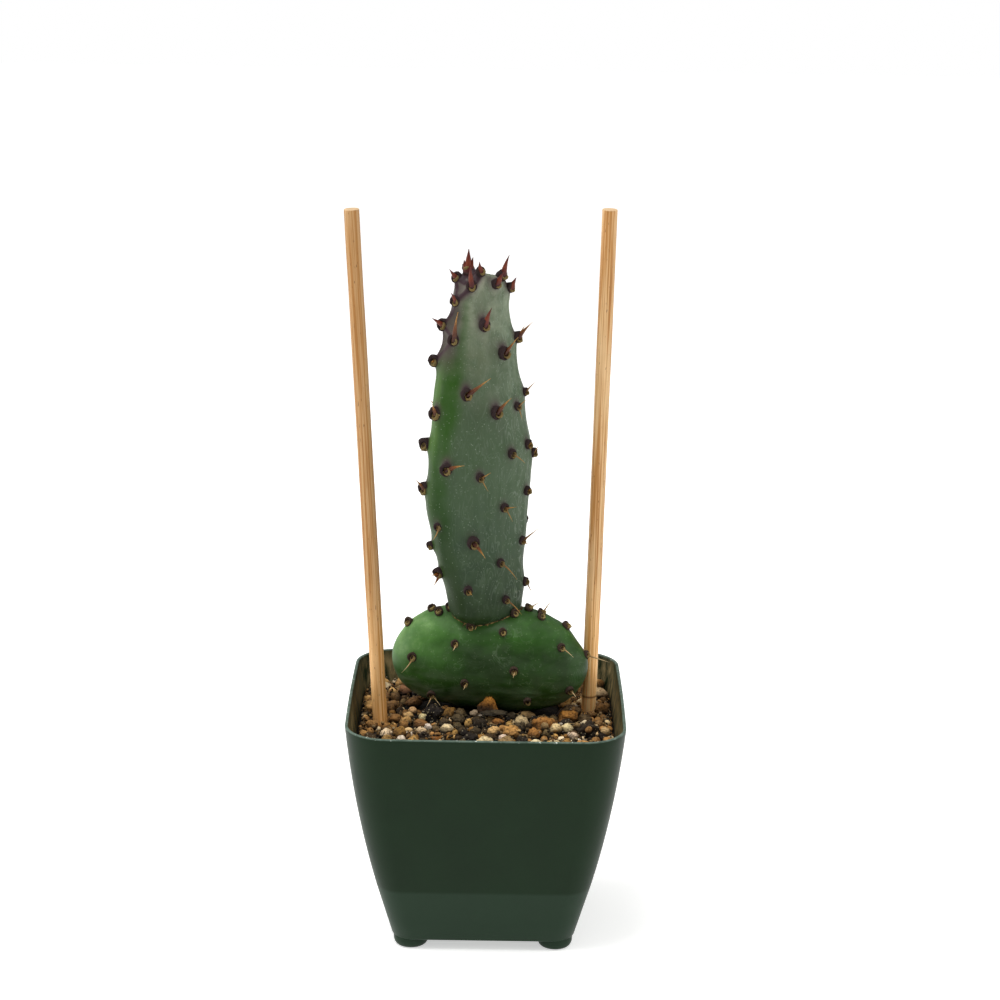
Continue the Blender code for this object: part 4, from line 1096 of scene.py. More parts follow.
class Heap:
    """The heights of what lies on the bed, on a square grid."""

    def __init__(self):
        half = POT_RIM_WIDTH / 2
        self.side = np.arange(-half, half, SOIL_CELL)
        self.top = soil_level(self.side[:, None], self.side[None, :])

    def window(self, x, y, radius):
        """The cells round a place, and how far away each is, squared, as a share of the radius."""
        columns = np.flatnonzero(np.abs(self.side - x) <= radius)
        rows = np.flatnonzero(np.abs(self.side - y) <= radius)
        away = (self.side[columns, None] - x) ** 2 + (self.side[None, rows] - y) ** 2
        return np.ix_(columns, rows), away / radius**2

    def height(self, x, y, radius):
        """How high the heap stands under a stone of this radius."""
        window, away = self.window(x, y, max(radius, SOIL_CELL))
        return float(np.median(self.top[window][away < 0.6]))

    def lay(self, x, y, radius, middle, tall):
        """Raises the heap by a stone whose middle and half height these are."""
        window, away = self.window(x, y, max(radius, SOIL_CELL))
        dome = middle + tall * np.sqrt(np.maximum(1 - away, 0))
        self.top[window] = np.maximum(self.top[window], np.where(away < 1, dome, 0))


def rough_stone(draw, half_sizes, lumpiness, facets, steps, tint, turn_all=True):
    """A lumpy stone about the origin, as (mesh, half its height once turned)."""
    mesh = bmesh.new()
    bmesh.ops.create_icosphere(mesh, subdivisions=steps, radius=1)
    seed = Vector((draw.uniform(0, 90), draw.uniform(0, 90), draw.uniform(0, 90)))
    creases = []
    for vert in mesh.verts:
        crease = max(0, 1 - abs(noise.noise(vert.co * CREASE_WAVES - seed)) / CREASE_WIDTH) if steps > 2 else 0
        swell = noise.noise(vert.co * SWELL_WAVES + seed) + LUMP_HEIGHT * noise.noise(vert.co * LUMP_WAVES + seed)
        swell -= CREASE_DEPTH * crease
        if steps > 2:
            swell += BUMP_HEIGHT * noise.noise(vert.co * BUMP_WAVES + seed)
        vert.co *= 1 + lumpiness * swell
        creases.append(crease)
    for _ in range(facets):
        flat = Vector((draw.gauss(0, 1), draw.gauss(0, 1), draw.gauss(0, 1))).normalized()
        depth = draw.uniform(*FACET_DEPTHS)
        for vert in mesh.verts:
            vert.co -= flat * FACET_FLATNESS * max(0, vert.co.dot(flat) - depth)
    bmesh.ops.scale(mesh, vec=half_sizes, verts=mesh.verts)
    if turn_all:
        axis = (draw.uniform(-1, 1), draw.uniform(-1, 1), draw.uniform(-1, 1))
        turn = Matrix.Rotation(draw.uniform(0, math.tau), 3, axis)
    else:
        turn = Matrix.Rotation(draw.uniform(-0.3, 0.3), 3, "Z")
    bmesh.ops.rotate(mesh, cent=(0, 0, 0), matrix=turn, verts=mesh.verts)
    top = max(vert.co.z for vert in mesh.verts)
    mark = mesh.verts.layers.float_color.new("tint")
    for vert, crease in zip(mesh.verts, creases):
        # Painted shade: a stone is darker towards its underside and in its creases
        painted_light = min(max(PAINTED_LIGHT_MIDDLE + PAINTED_LIGHT_RISE * vert.co.z / top, PAINTED_LIGHT_LEAST), 1.0) * (1 - CRACK_PAINTED_SHADE * crease)
        vert[mark] = (*[painted_light * part for part in tint], 1)
    return mesh, top


def stone_kind(draw, x, y):
    """Draws a kind: compost crumbs in the middle of the front, tan gravel at the back left, pumice all over."""
    middle = math.exp(-((x / 0.022) ** 2) - ((y + 0.013) / 0.016) ** 2)
    back = 1 if y > -0.010 and abs(x) > 0.022 else 0
    weights = {
        "pumice": 0.30 if x > PALE_SIDE else 0.17,
        "clay": 0.16,
        "gravel": 0.34 + 0.9 * back,
        "lava": 0.20 + 0.60 * middle,
        "compost": 0.26 + 0.50 * middle,
    }
    return draw.choices(list(weights), weights=list(weights.values()))[0]


def free_spot(draw, radius):
    """A place in the pot for a stone, clear of the wall and of the plant."""
    half = POT_RIM_WIDTH / 2
    while True:
        x, y = draw.uniform(-half, half), draw.uniform(-half, half)
        if wall_distance(x, y, SOIL_LEVEL) < radius + GAP:
            continue
        point = np.array(((x, y, LOWER_CENTRE[2]),))
        if clearance(lower_level, point)[0] < -STONE_UNDER_PAD:
            continue
        if any(math.hypot(x - foot.x, y - foot.y) < STAKE_RADIUS + 0.7 * radius for foot, _, _ in STAKES.values()):
            continue
        return x, y


def is_clear(spot, radius, laid, spacing):
    """Whether a stone there would overlap none of those laid by more than the spacing lets it."""
    return all(math.hypot(spot[0] - x, spot[1] - y) > spacing * (radius + other) for x, y, other in laid)


class PRICKLY_OT_make_soil(bpy.types.Operator):
    """Fills the pot with compost and strews pumice, clay, gravel, lava and compost crumbs over it"""

    bl_idname = "prickly.make_soil"
    bl_label = "Soil"

    def execute(self, context):
        look = context.scene.prickly_soil
        draw = random.Random(SOIL_SEED)
        heap = Heap()
        kinds = {kind: bmesh.new() for kind in STONE_KINDS}
        laid = []
        for kind, tint, *sizes in NOTABLE_STONES:
            x, y, wide, deep, tall, rise = [size / 1000 for size in sizes]
            half_sizes = (wide / 2, deep / 2, tall / 2)
            lumpiness, _, facets, _ = STONE_KINDS[kind]
            stone, top = rough_stone(draw, half_sizes, lumpiness, facets, 4, linear(tint), False)
            middle = float(soil_level(x, y)) + rise
            bmesh.ops.translate(stone, vec=(x, y, middle), verts=stone.verts)
            add_part(kinds[kind], stone)
            heap.lay(x, y, (wide + deep) / 4, middle, top)
            laid.append((x, y, (wide + deep) / 4))
        for share, radii, steps, tries, spacing in STONE_SIZES:
            for _ in range(round(look.stones * share)):
                radius = draw.uniform(*radii)
                spots = [free_spot(draw, radius) for _ in range(tries)]
                if spacing:
                    spots = [spot for spot in spots if is_clear(spot, radius, laid, spacing)][:2]
                if not spots:
                    continue
                x, y = min(spots, key=lambda spot: heap.height(*spot, radius) - float(soil_level(*spot)))
                kind = stone_kind(draw, x, y)
                lumpiness, flattest, facets, tints = STONE_KINDS[kind]
                light = draw.uniform(*STONE_LIGHT) * (SMALL_STONE_PAINTED_SHADE if steps == 1 else 1)
                light *= PALE_SIDE_PAINTED_LIGHT if x > PALE_SIDE else 1
                tint = [light * part for part in linear(draw.choice(tints))]
                half_sizes = [radius * draw.uniform(flattest, 1.1) for _ in range(3)]
                stone, top = rough_stone(draw, half_sizes, lumpiness, facets, steps, tint)
                middle = heap.height(x, y, radius) + STONE_REST * top
                bmesh.ops.translate(stone, vec=(x, y, middle), verts=stone.verts)
                add_part(kinds[kind], stone)
                heap.lay(x, y, radius, middle, top)
                laid.append((x, y, radius))
        add_piece("soil_bed", soil_bed(), damp_compost(look), "soil", ["soil"])
        for kind, whole in kinds.items():
            bmesh.ops.recalc_face_normals(whole, faces=whole.faces)
            add_piece("grit_" + kind, whole, stone_mineral(*STONE_FINISHES[kind]), "soil")
        self.strew_fibres(look, heap, draw)
        self.lean_shard()
        return {"FINISHED"}

    def strew_fibres(self, look, heap, draw):
        """Loose root fibres that lie over the stones."""
        fibres = bmesh.new()
        for _ in range(look.fibres):
            x, y = free_spot(draw, 0.003)
            turn = draw.uniform(0, math.tau)
            size = draw.uniform(0.3, 1) * look.fibre_length
            radius = draw.uniform(*FIBRE_RADII)
            bend = draw.uniform(-1.2, 1.2)
            path = []
            for step in range(FIBRE_PARTS + 1):
                part = step / FIBRE_PARTS
                heading = turn + bend * part
                a = x + size * (part - 0.5) * math.cos(heading)
                b = y + size * (part - 0.5) * math.sin(heading)
                if wall_distance(a, b, SOIL_LEVEL) < FIBRE_CLEAR:
                    break
                path.append(Vector((a, b, heap.height(a, b, FIBRE_CLEAR) + 2 * radius)))
            if len(path) < 4:
                continue
            radii = [radius * (0.5 + 0.5 * math.sin(math.pi * (i + 0.5) / len(path))) for i in range(len(path))]
            add_part(fibres, tube(smooth_path(path), radii, 5, "along", [draw.random()] * len(path)))
        stops = [(0.2, "#2c1f15"), (0.5, "#6a4c2e"), (0.9, "#a98f62")]
        add_piece("root_fibres", fibres, spine_horn("dry root fibre", stops, 0.8), "soil")

    def lean_shard(self):
        """An orange chip of fired clay that leans on the plant, with a dark flake of bark under it."""
        draw = random.Random(SOIL_SEED)
        chip, _ = rough_stone(draw, SHARD_SIZE, 0.34, 0, 4, linear("#d08a34"), False)
        for vert in chip.verts:
            # A peak to the left and a low lobe to the right
            tall = vert.co.z / SHARD_SIZE[0]
            vert.co.x = vert.co.x * (0.95 - 0.62 * tall) - 0.0007 * tall
            if vert.co.x > 0.0012:
                vert.co.z -= 0.6 * (vert.co.x - 0.0012) + 0.0004
        lean = Matrix.Rotation(math.radians(-24), 3, "X") @ Matrix.Rotation(math.radians(8), 3, "Y")
        bmesh.ops.rotate(chip, cent=(0, 0, 0), matrix=lean, verts=chip.verts)
        bmesh.ops.translate(chip, vec=SHARD_PLACE, verts=chip.verts)
        flake, _ = rough_stone(draw, FLAKE_SIZE, 0.6, 0, 3, linear("#4a3f2c"), False)
        bmesh.ops.translate(flake, vec=FLAKE_PLACE, verts=flake.verts)
        add_part(chip, flake)
        add_piece("clay_shard", chip, stone_mineral("broken fired clay", 0.0016, 0.35, 0.8), "soil")


# Surfaces of the pads


def turned(angle):
    """Turns rows of points by an angle about Z when they are multiplied by it."""
    return np.array(Matrix.Rotation(-angle, 3, "Z"))


def smooth_values(knots, at):
    """The values at places on the smooth curve through (place, value) knots, as the solids have it."""
    places, values = np.array(knots, float).T
    number = np.arange(len(places))
    before, after = np.maximum(number - 1, 0), np.minimum(number + 1, len(places) - 1)
    slopes = (values[after] - values[before]) / (places[after] - places[before])
    i = np.clip(np.searchsorted(places, at, side="right") - 1, 0, len(places) - 2)
    span = places[i + 1] - places[i]
    t = np.clip((at - places[i]) / span, 0, 1)
    bend = slopes[i] * (t**3 - 2 * t**2 + t) + slopes[i + 1] * (t**3 - t**2)
    return values[i] + (values[i + 1] - values[i]) * t * t * (3 - 2 * t) + span * bend


def signed_power(value, exponent):
    return np.sign(value) * np.abs(value) ** exponent


def closed_knots(outline):
    """(angle, radius) knots of a closed outline, repeated past both ends of the turn."""
    knots = sorted((math.atan2(up, across) % math.tau, math.hypot(across, up)) for across, up in outline)
    before = [(angle - math.tau, radius) for angle, radius in knots[-2:]]
    after = [(angle + math.tau, radius) for angle, radius in knots[:2]]
    return before + knots + after


LOWER_KNOTS = closed_knots(LOWER_OUTLINE)


def lower_level(points):
    """Below 0 inside the lower pad, 0 on its surface."""
    local = (points - LOWER_CENTRE) @ turned(-LOWER_YAW)
    radius = smooth_values(LOWER_KNOTS, np.arctan2(local[:, 2], local[:, 0]) % math.tau)
    across = np.hypot(local[:, 0], local[:, 2]) / radius
    return across**LOWER_FULLNESS + np.abs(local[:, 1] / LOWER_HALF_THICKNESS) ** LOWER_FULLNESS - 1


def lower_surface(unit):
    """The lower pad's surface for points of the unit sphere."""
    turn = np.arctan2(unit[:, 2], unit[:, 0]) % math.tau
    radius = smooth_values(LOWER_KNOTS, turn) * np.hypot(unit[:, 0], unit[:, 2]) ** (2 / LOWER_FULLNESS)
    depth = LOWER_HALF_THICKNESS * signed_power(unit[:, 1], 2 / LOWER_FULLNESS)
    local = np.column_stack((radius * np.cos(turn), depth, radius * np.sin(turn)))
    return LOWER_CENTRE + local @ turned(LOWER_YAW)


def upper_section(up):
    """(centre across, half width) of the upper pad at heights above its foot."""
    centre = smooth_values([(height, across) for height, across, _ in UPPER_SECTIONS], up)
    width = smooth_values([(height, half) for height, _, half in UPPER_SECTIONS], up)
    for along, rounding in ((up, UPPER_FOOT_ROUNDING), (UPPER_TALL - up, UPPER_TOP_ROUNDING)):
        width = width * np.sqrt(np.maximum(1 - (1 - np.clip(along / rounding, 0, 1)) ** 2, 0))
    return centre, width


def upper_local(points):
    """Points as (heights above the upper pad's foot, its half widths there, places about its middle line)."""
    up = points[:, 2] - UPPER_FOOT[2]
    centre, width = upper_section(up)
    return up, width, (points - UPPER_FOOT - np.column_stack((centre, 0 * up, up))) @ turned(-UPPER_YAW)


def upper_level(points):
    """Below 0 inside the upper pad, 0 on its surface."""
    _, width, local = upper_local(points)
    wide = np.maximum(width, 1e-5)
    shares = np.abs(local[:, :2] / np.column_stack((wide, wide * UPPER_FLATNESS))) ** UPPER_SQUARENESS
    return np.where(width * UPPER_FLATNESS < 1e-5, 9.0, shares.sum(axis=1) - 1)


def upper_place(up, turn):
    """The upper pad's surface at heights above its foot and angles round it, from its right edge."""
    up, turn = np.atleast_1d(up).astype(float), np.atleast_1d(turn).astype(float)
    centre, width = upper_section(up)
    across = width * signed_power(np.cos(turn), 2 / UPPER_SQUARENESS)
    deep = width * UPPER_FLATNESS * signed_power(np.sin(turn), 2 / UPPER_SQUARENESS)
    local = np.column_stack((across, deep, 0 * up)) @ turned(UPPER_YAW)
    return UPPER_FOOT + np.column_stack((centre, 0 * up, up)) + local


def upper_surface(unit):
    """The upper pad's surface for points of the unit sphere, its rings closer at both ends."""
    even = 1 - np.arccos(np.clip(unit[:, 2], -1, 1)) / math.pi
    share = (1 - UPPER_RING_EVENNESS) * (1 + unit[:, 2]) / 2 + UPPER_RING_EVENNESS * even
    return upper_place(UPPER_TALL * share, np.arctan2(unit[:, 1], unit[:, 0]))


def slopes_of(level, points):
    """The gradients of a level function."""
    steps = SLOPE_STEP * np.eye(3)
    rises = [(level(points + step) - level(points - step)) / (2 * SLOPE_STEP) for step in steps]
    return np.column_stack(rises)


def clearance(level, points):
    """About how far points are outside a surface."""
    return level(points) / np.maximum(np.linalg.norm(slopes_of(level, points), axis=1), 1)


def normal_at(level, point):
    slope = slopes_of(level, point[None])[0]
    return slope / np.linalg.norm(slope)


def front_point(level, across, up, middle):
    """Where a pad's front is met at a place in the front view, or the nearest place on its edge."""
    depths = SEARCH_START + SEARCH_STEP * np.arange(SEARCH_STEPS)
    for shrink in range(EDGE_TRIES):
        x = middle + (across - middle) * (1 - shrink / 100)
        line = np.column_stack((np.full(SEARCH_STEPS, x), depths, np.full(SEARCH_STEPS, up)))
        met = np.flatnonzero(level(line) <= 0)
        if not len(met):
            continue
        inner, outer = line[met[0]], line[met[0]] - (0, SEARCH_STEP, 0)
        for _ in range(FRONT_HALVINGS):
            halfway = (inner + outer) / 2
            if level(halfway[None])[0] <= 0:
                inner = halfway
            else:
                outer = halfway
        return inner
    raise ValueError(f"no surface near {across}, {up}")


# Areoles


def seen_areoles(rows, level, start, middle):
    """The areoles of the front as (point, normal, kind, tips), their rows measured from start."""
    found = []
    for across, up, kind, tips in rows:
        point = front_point(level, start[0] + across, start[2] + up, middle)
        normal = normal_at(level, point)
        # Cups at the sides are turned towards the front
        normal = normal + (0, -CUP_TURN - SIDE_CUP_TURN * normal[0] ** 2, 0)
        normal /= np.linalg.norm(normal)
        reach = SPINE_REACH[kind] * normal[1]
        found.append((point, normal, kind, [np.array((x, reach, z)) for x, z in tips]))
    return found


def kind_at(height):
    """The kind of an areole by rule."""
    if height > LEAF_HEIGHT:
        return "leaf"
    return "stout" if height > STOUT_HEIGHT else "fine"


def add_by_rule(found, candidates, level, draw):
    """Adds the lattice's points that no areole is near, with a spine that leans up and to one side."""
    for point in candidates:
        if min(np.linalg.norm(point - other[0]) for other in found) < BACK_CLEAR:
            continue
        normal = normal_at(level, point)
        if normal[1] < BACK_FACING:
            continue
        kind = kind_at(point[2])
        side = np.cross(normal, UP)
        side /= np.linalg.norm(side)
        lean = draw.uniform(-SPIKE_LEAN, SPIKE_LEAN)
        rise = draw.uniform(*SPIKE_RISE) if kind != "fine" else draw.uniform(-SPIKE_LEAN, SPIKE_LEAN)
        tip = normal * SPINE_REACH[kind] + side * lean + np.array(UP) * rise
        found.append((point, normal, kind, [tip]))


def upper_areoles():
    """The upper pad's areoles: those that are seen, then rows of them by rule."""
    found = seen_areoles(UPPER_AREOLES, upper_level, UPPER_FOOT, UPPER_MIDDLE)
    draw = random.Random(BACK_SEED)
    rows = int(UPPER_TALL / BACK_SPACING)
    candidates = []
    for row in range(rows):
        height = (row + 0.85) * UPPER_TALL / rows
        _, width = upper_section(np.array((height,)))
        around = max(4, round(math.pi * float(width[0]) * (1 + UPPER_FLATNESS) / BACK_SPACING))
        for i in range(around):
            turn = math.tau * (i + 0.5 * (row % 2)) / around
            candidates.append(upper_place(height + draw.uniform(-BACK_JITTER, BACK_JITTER), turn)[0])
    add_by_rule(found, candidates, upper_level, draw)
    return found


def lower_areoles(bare=JUNCTION_BARE):
    """The lower pad's areoles: those that are seen, then a spiral of them by rule, none close to the upper pad."""
    found = seen_areoles(LOWER_AREOLES, lower_level, LOWER_CENTRE, LOWER_CENTRE[0])
    draw = random.Random(BACK_SEED)
    candidates = []
    for i in range(LOWER_LATTICE):
        height = 1 - 2 * (i + 0.5) / LOWER_LATTICE
        turn = i * math.pi * (3 - math.sqrt(5))
        ring = math.sqrt(1 - height * height)
        point = lower_surface(np.array(((ring * math.cos(turn), ring * math.sin(turn), height),)))[0]
        if point[2] > SOIL_LEVEL + LOWER_BARE:
            candidates.append(point)
    add_by_rule(found, candidates, lower_level, draw)
    return [areole for areole in found if clearance(upper_level, areole[0][None])[0] > bare]


def seam_path():
    """Points round the seam, where the upper pad's surface meets the lower one's."""
    turns = np.linspace(0, math.tau, SCAR_STEPS, endpoint=False)
    low, high = np.full(SCAR_STEPS, 0.0002), np.full(SCAR_STEPS, 0.0200)
    for _ in range(SEAM_HALVINGS):
        halfway = (low + high) / 2
        within = lower_level(upper_place(halfway, turns)) < 0
        low, high = np.where(within, halfway, low), np.where(within, high, halfway)
    return [Vector(point) for point in upper_place(high, turns)]


def seam_areoles():
    """The bare areoles that sit on the front of the seam."""
    front = [point for point in seam_path() if point.y < UPPER_FOOT[1]]
    for across in SEAM_AREOLES:
        point = np.array(min(front, key=lambda place: abs(place.x - across)))
        normal = normal_at(lower_level, point) + normal_at(upper_level, point)
        yield point, normal / np.linalg.norm(normal), "fine", []


def tubercle_height(up):
    """How high the rise under an areole is at this height."""
    return float(smooth_values(TUBERCLE_HEIGHTS, np.array((up,)))[0])


def seat_of(point, normal):
    """The place and the axes of an areole's cup: right, up the pad, and out of the skin."""
    out = Vector(normal)
    across = UP.cross(out).normalized()
    axes = Matrix((across, out.cross(across), out)).transposed()
    return Vector(point) + out * tubercle_height(point[2]), axes


def pad_skin(name, segments, surface, poles, areoles, ripple, folds):
    """(mesh, its smooth places) of a pad's skin: a sphere drawn out to the pad, raised under each areole."""
    mesh = bmesh.new()
    bmesh.ops.create_uvsphere(mesh, u_segments=segments[0], v_segments=segments[1], radius=1, matrix=poles)
    data = as_data(name, mesh)
    base = surface(read_points(data))
    total = np.zeros(len(base))
    pulled = np.zeros_like(base)
    for point, normal, _, _ in areoles:
        away = (base - point) / TUBERCLE_SPREAD
        swell = (tubercle_height(point[2]) * np.exp(-(away**2).sum(axis=1))) ** TUBERCLE_BLEND
        total += swell
        pulled += swell[:, None] * normal
    size = np.maximum(np.linalg.norm(pulled, axis=1), 1e-30)
    raised = base + pulled / size[:, None] * (total ** (1 / TUBERCLE_BLEND))[:, None]
    write_points(data, raised)
    normals = np.empty(len(base) * 3, np.float32)
    data.vertices.foreach_get("normal", normals)
    coarse, fine = RIPPLE_WAVES
    waves = np.array([noise.noise(Vector(point) * coarse) + 0.5 * noise.noise(Vector(point) * fine) for point in base])
    write_points(data, raised + normals.reshape(-1, 3) * (ripple * (waves - 0.8) + folds(base))[:, None])
    return data, base


def blush_round(base, areoles, strength=1.0):
    """How purple the skin is: strongest just above each areole."""
    blush = np.zeros(len(base))
    for point, _, kind, _ in areoles:
        _, radius, most = CUP_KINDS[kind]
        centre = point + np.array((-0.0003, 0, 0.0006 if kind == "fine" else 0.0013))
        away = (base - centre) / (radius * np.array((0.8, 1, 1.15)))
        # The tint fades towards the plant's foot
        most = most * strength * (0.30 + 0.70 * soft_step(point[2], 0.140, 0.168))
        blush = np.maximum(blush, most * np.exp(-1.4 * (away**2).sum(axis=1)))
    return blush


def ridges_between(points, areoles):
    """1 on the low purple ridges that join the areoles near the tip on the left, falling to 0 away from them."""
    tops = [place for place, out, *_ in areoles if place[2] > RIDGE_HEIGHT and out[0] < 0.30 and out[1] < 0.4]
    nearest = np.full(len(points), 1.0)
    for number, first in enumerate(tops):
        for second in tops[:number]:
            span = second - first
            if np.linalg.norm(span) > RIDGE_SPAN:
                continue
            share = np.clip((points - first) @ span / (span @ span), 0, 1)
            nearest = np.minimum(nearest, np.linalg.norm(points - first - share[:, None] * span, axis=1))
    return np.exp(-((nearest / RIDGE_WIDTH) ** 2))


def soft_step(values, start, end):
    """0 up to start, 1 from end on, and a smooth change between them."""
    part = np.clip((values - start) / (end - start), 0, 1)
    return part * part * (3 - 2 * part)


class PRICKLY_OT_make_pads(bpy.types.Operator):
    """Builds both pads' skins, raised under their areoles, and the corky scar between them"""

    bl_idname = "prickly.make_pads"
    bl_label = "Pads"

    def execute(self, context):
        look = context.scene.prickly_skin
        self.make_upper(look)
        self.make_lower(look)
        self.make_scar()
        return {"FINISHED"}

    def make_upper(self, look):
        areoles = upper_areoles()
        data, base = pad_skin(
            "upper_pad_skin",
            UPPER_SEGMENTS,
            lambda unit: self.sunk_tip(upper_surface(unit), areoles),
            Matrix.Identity(4),
            areoles,
            look.ripple,
            lambda points: self.long_folds(points, areoles) + RIDGE_RISE * ridges_between(points, areoles),
        )
        up, width, local = upper_local(base)
        shares = local[:, :2] / np.maximum(width, 1e-4)[:, None] / (1, UPPER_FLATNESS)
        turn = np.arctan2(*signed_power(shares, UPPER_SQUARENESS / 2).T[::-1]) % math.tau
        # Round the pad from its left edge, in radians, with the front on the positive side
        beside = turn - math.pi
        # The left edge has little bloom: green round the corner, and just behind it a painted highlight on the margin
        wider = 0.34 * soft_step(up, 0.066, 0.084) + 0.12 * soft_step(up, 0.052, 0.040)
        run = soft_step(up, 0.126, 0.112) * (1 - 0.35 * soft_step(up, 0.092, 0.104))
        bare = soft_step(beside, 0.80 + wider, 0.34 + wider) * soft_step(beside, -1.3, -0.8) * run
        foot = soft_step(up, 0.016, 0.004) * soft_step(beside, 1.9, 1.2)
        write_layer(data, "bare", np.maximum(bare, 0.7 * foot))
        middle = soft_step(up, 0.056, 0.074)
        margin = soft_step(beside, 0.16 + 0.12 * middle, 0.08 * middle - 0.06) * soft_step(beside, -0.9, -0.5)
        ends = soft_step(up, 0.004, 0.020) * soft_step(up, 0.098, 0.086)
        write_layer(data, "margin", margin * (0.2 + 0.6 * middle) * ends)
        # The front's right half is paler, in part a painted sheen, and has more lines in its wax
        front_right = soft_step(beside, 1.3, 2.2) * soft_step(beside, 3.1, 3.0)
        higher = soft_step(up, 0.01, 0.05) * (0.28 + 0.27 * soft_step(up, 0.072, 0.084))
        write_layer(data, "paler", front_right * higher)
        write_layer(data, "ridged", 0.3 + 0.7 * front_right)
        # Purple on the left shoulder, over the tip, round the areoles and along the ridges between them
        bruise = 0.52 * soft_step(up, 0.090, 0.103) * soft_step(beside, 0.90, 0.20) * soft_step(beside, -1.3, -0.8)
        tip = 0.4 * soft_step(up, 0.120, 0.128) * soft_step(beside, 2.6, 0.6)
        purple = (blush_round(base, areoles), tip, bruise, 0.85 * ridges_between(base, areoles))
        write_layer(data, "blush", np.maximum.reduce(purple))
        add_piece("upper_pad_skin", data, wax_skin(look), "upper_pad", ["upper_pad"])

    def between(self, points, areoles):
        """0 at an areole, 1 well away from all of them."""
        near = np.min([np.linalg.norm(points - place, axis=1) for place, *_ in areoles], axis=0)
        return 1 - np.exp(-((near / AREOLE_CALM) ** 2))

    def sunk_tip(self, points, areoles):
        """The points, with those at the tip let down between the topmost areoles."""
        sink = SUNK_TIP * soft_step(points[:, 2] - UPPER_FOOT[2], 0.1180, 0.1275) * self.between(points, areoles)
        return points - sink[:, None] * np.array(UP)

    def long_folds(self, points, areoles):
        """The heights of shallow folds that run down the pad."""
        up = points[:, 2] - UPPER_FOOT[2]
        turn = np.arctan2(points[:, 1] - UPPER_FOOT[1], points[:, 0] - UPPER_FOOT[0])
        round_it, up_it = FOLD_WAVES_ROUND, FOLD_WAVES_UP
        places = [Vector((round_it * math.cos(t), round_it * math.sin(t), up_it * z)) for t, z in zip(turn, up)]
        wide = np.array([noise.noise(place) + 0.3 * noise.noise(place * 2.1) for place in places])
        folds = FOLD_HEIGHT * (wide - 0.25) * soft_step(up, 0.006, 0.030) * self.between(points, areoles)
        # The left edge swells below the middle
        swell = SIDE_SWELL * np.exp(-(((up - SWELL_MIDDLE) / SWELL_SPREAD) ** 2))
        return folds + swell * np.maximum(-np.cos(turn), 0) ** 3

    def make_lower(self, look):
        areoles = lower_areoles()
        poles = Matrix.Rotation(math.radians(90), 4, "X")
        data, base = pad_skin(
            "lower_pad_skin", LOWER_SEGMENTS, lower_surface, poles, areoles, look.ripple, lambda points: 0
        )
        across, up = base[:, 0] - LOWER_CENTRE[0], base[:, 2] - LOWER_CENTRE[2]
        # Painted light: lighter on the left shoulder and towards the top
        shoulder = soft_step(-across, 0.002, 0.034) * soft_step(up, -0.014, 0.006)
        # Painted shade under the upper pad's foot
        shaded = 0.22 * np.exp(-((across / 0.012) ** 2) - ((up - 0.003) / 0.006) ** 2)
        write_layer(data, "lit", 0.17 + 0.66 * shoulder + 0.22 * soft_step(up, 0.002, 0.014) - shaded)
        # More grey bloom low down and on the left: real wax, and painted fill light on the shaded foot
        write_layer(data, "bloomed", 0.15 + soft_step(-up, -0.002, 0.014) * (0.45 + 0.50 * soft_step(-across, 0, 0.02)))
        write_layer(data, "wrinkled", soft_step(-up, 0.001, 0.012) * soft_step(across, -0.012, 0.012))
        write_layer(data, "blush", blush_round(base, areoles, 0.9))
        add_piece("lower_pad_skin", data, old_skin(look), "lower_pad", ["lower_pad"])

    def make_scar(self):
        """A thin corky seam where the upper pad's surface meets the lower one, with a few tan bristles."""
        path = seam_path()
        radii = [SCAR_RADIUS * (1 + 0.5 * noise.noise(point * 600)) for point in path]
        seam = tube(path, radii, 6, closed=True)
        draw = random.Random(SPINE_SEED)
        for point in path:
            if draw.random() > SCAR_BRISTLES:
                continue
            outward = Vector((point.x - UPPER_FOOT[0], point.y - UPPER_FOOT[1], 0)).normalized()
            tip = outward * draw.uniform(0.0008, 0.0018) + UP * draw.uniform(-0.0030, -0.0010)
            add_part(seam, bowed_spine(point, point + tip, outward * 0.0003, 0.00022, 5))
        add_piece("scar_seam", seam, scar_cork(), "lower_pad")


# Tubes and spines


def smooth_path(path):
    """The path with each inner point drawn halfway to the middle of its neighbours."""
    inner = [path[i] * 0.5 + (path[i - 1] + path[i + 1]) * 0.25 for i in range(1, len(path) - 1)]
    return [path[0], *inner, path[-1]]


def tube(path, radii, sides, layer=None, values=None, closed=False):
    """A tube along a path, its rings held square to it; a closed one meets its own start."""
    count = len(path)
    rings = []
    side = None
    for i, point in enumerate(path):
        before = path[i - 1] if closed else path[max(i - 1, 0)]
        after = path[(i + 1) % count] if closed else path[min(i + 1, count - 1)]
        along = (after - before).normalized()
        side = along.orthogonal() if side is None else side - along * side.dot(along)
        side.normalize()
        other = along.cross(side)
        turns = [math.tau * step / sides for step in range(sides)]
        rings.append([point + radii[i] * (math.cos(turn) * side + math.sin(turn) * other) for turn in turns])
    if closed:
        mesh = loft(rings, layer, values, closed_start=False, closed_end=False)
        ends = [edge for edge in mesh.edges if edge.is_boundary]
        bmesh.ops.bridge_loops(mesh, edges=ends)
        bmesh.ops.recalc_face_normals(mesh, faces=mesh.faces)
        return mesh
    return loft(rings, layer, values)


def bowed_spine(root, tip, bow, radius, sides, swell=0.75):
    """A slim cone from root to tip whose middle stands off by bow, its place along it in a layer."""
    middle = (root + tip) / 2 + bow
    shares = [i / (SPINE_RINGS - 1) for i in range(SPINE_RINGS)]
    path = [root * (1 - t) ** 2 + middle * 2 * t * (1 - t) + tip * t * t for t in shares]
    radii = [radius * max((1 - t) ** swell, SPINE_TIP) for t in shares]
    return tube(path, radii, sides, "along", shares)


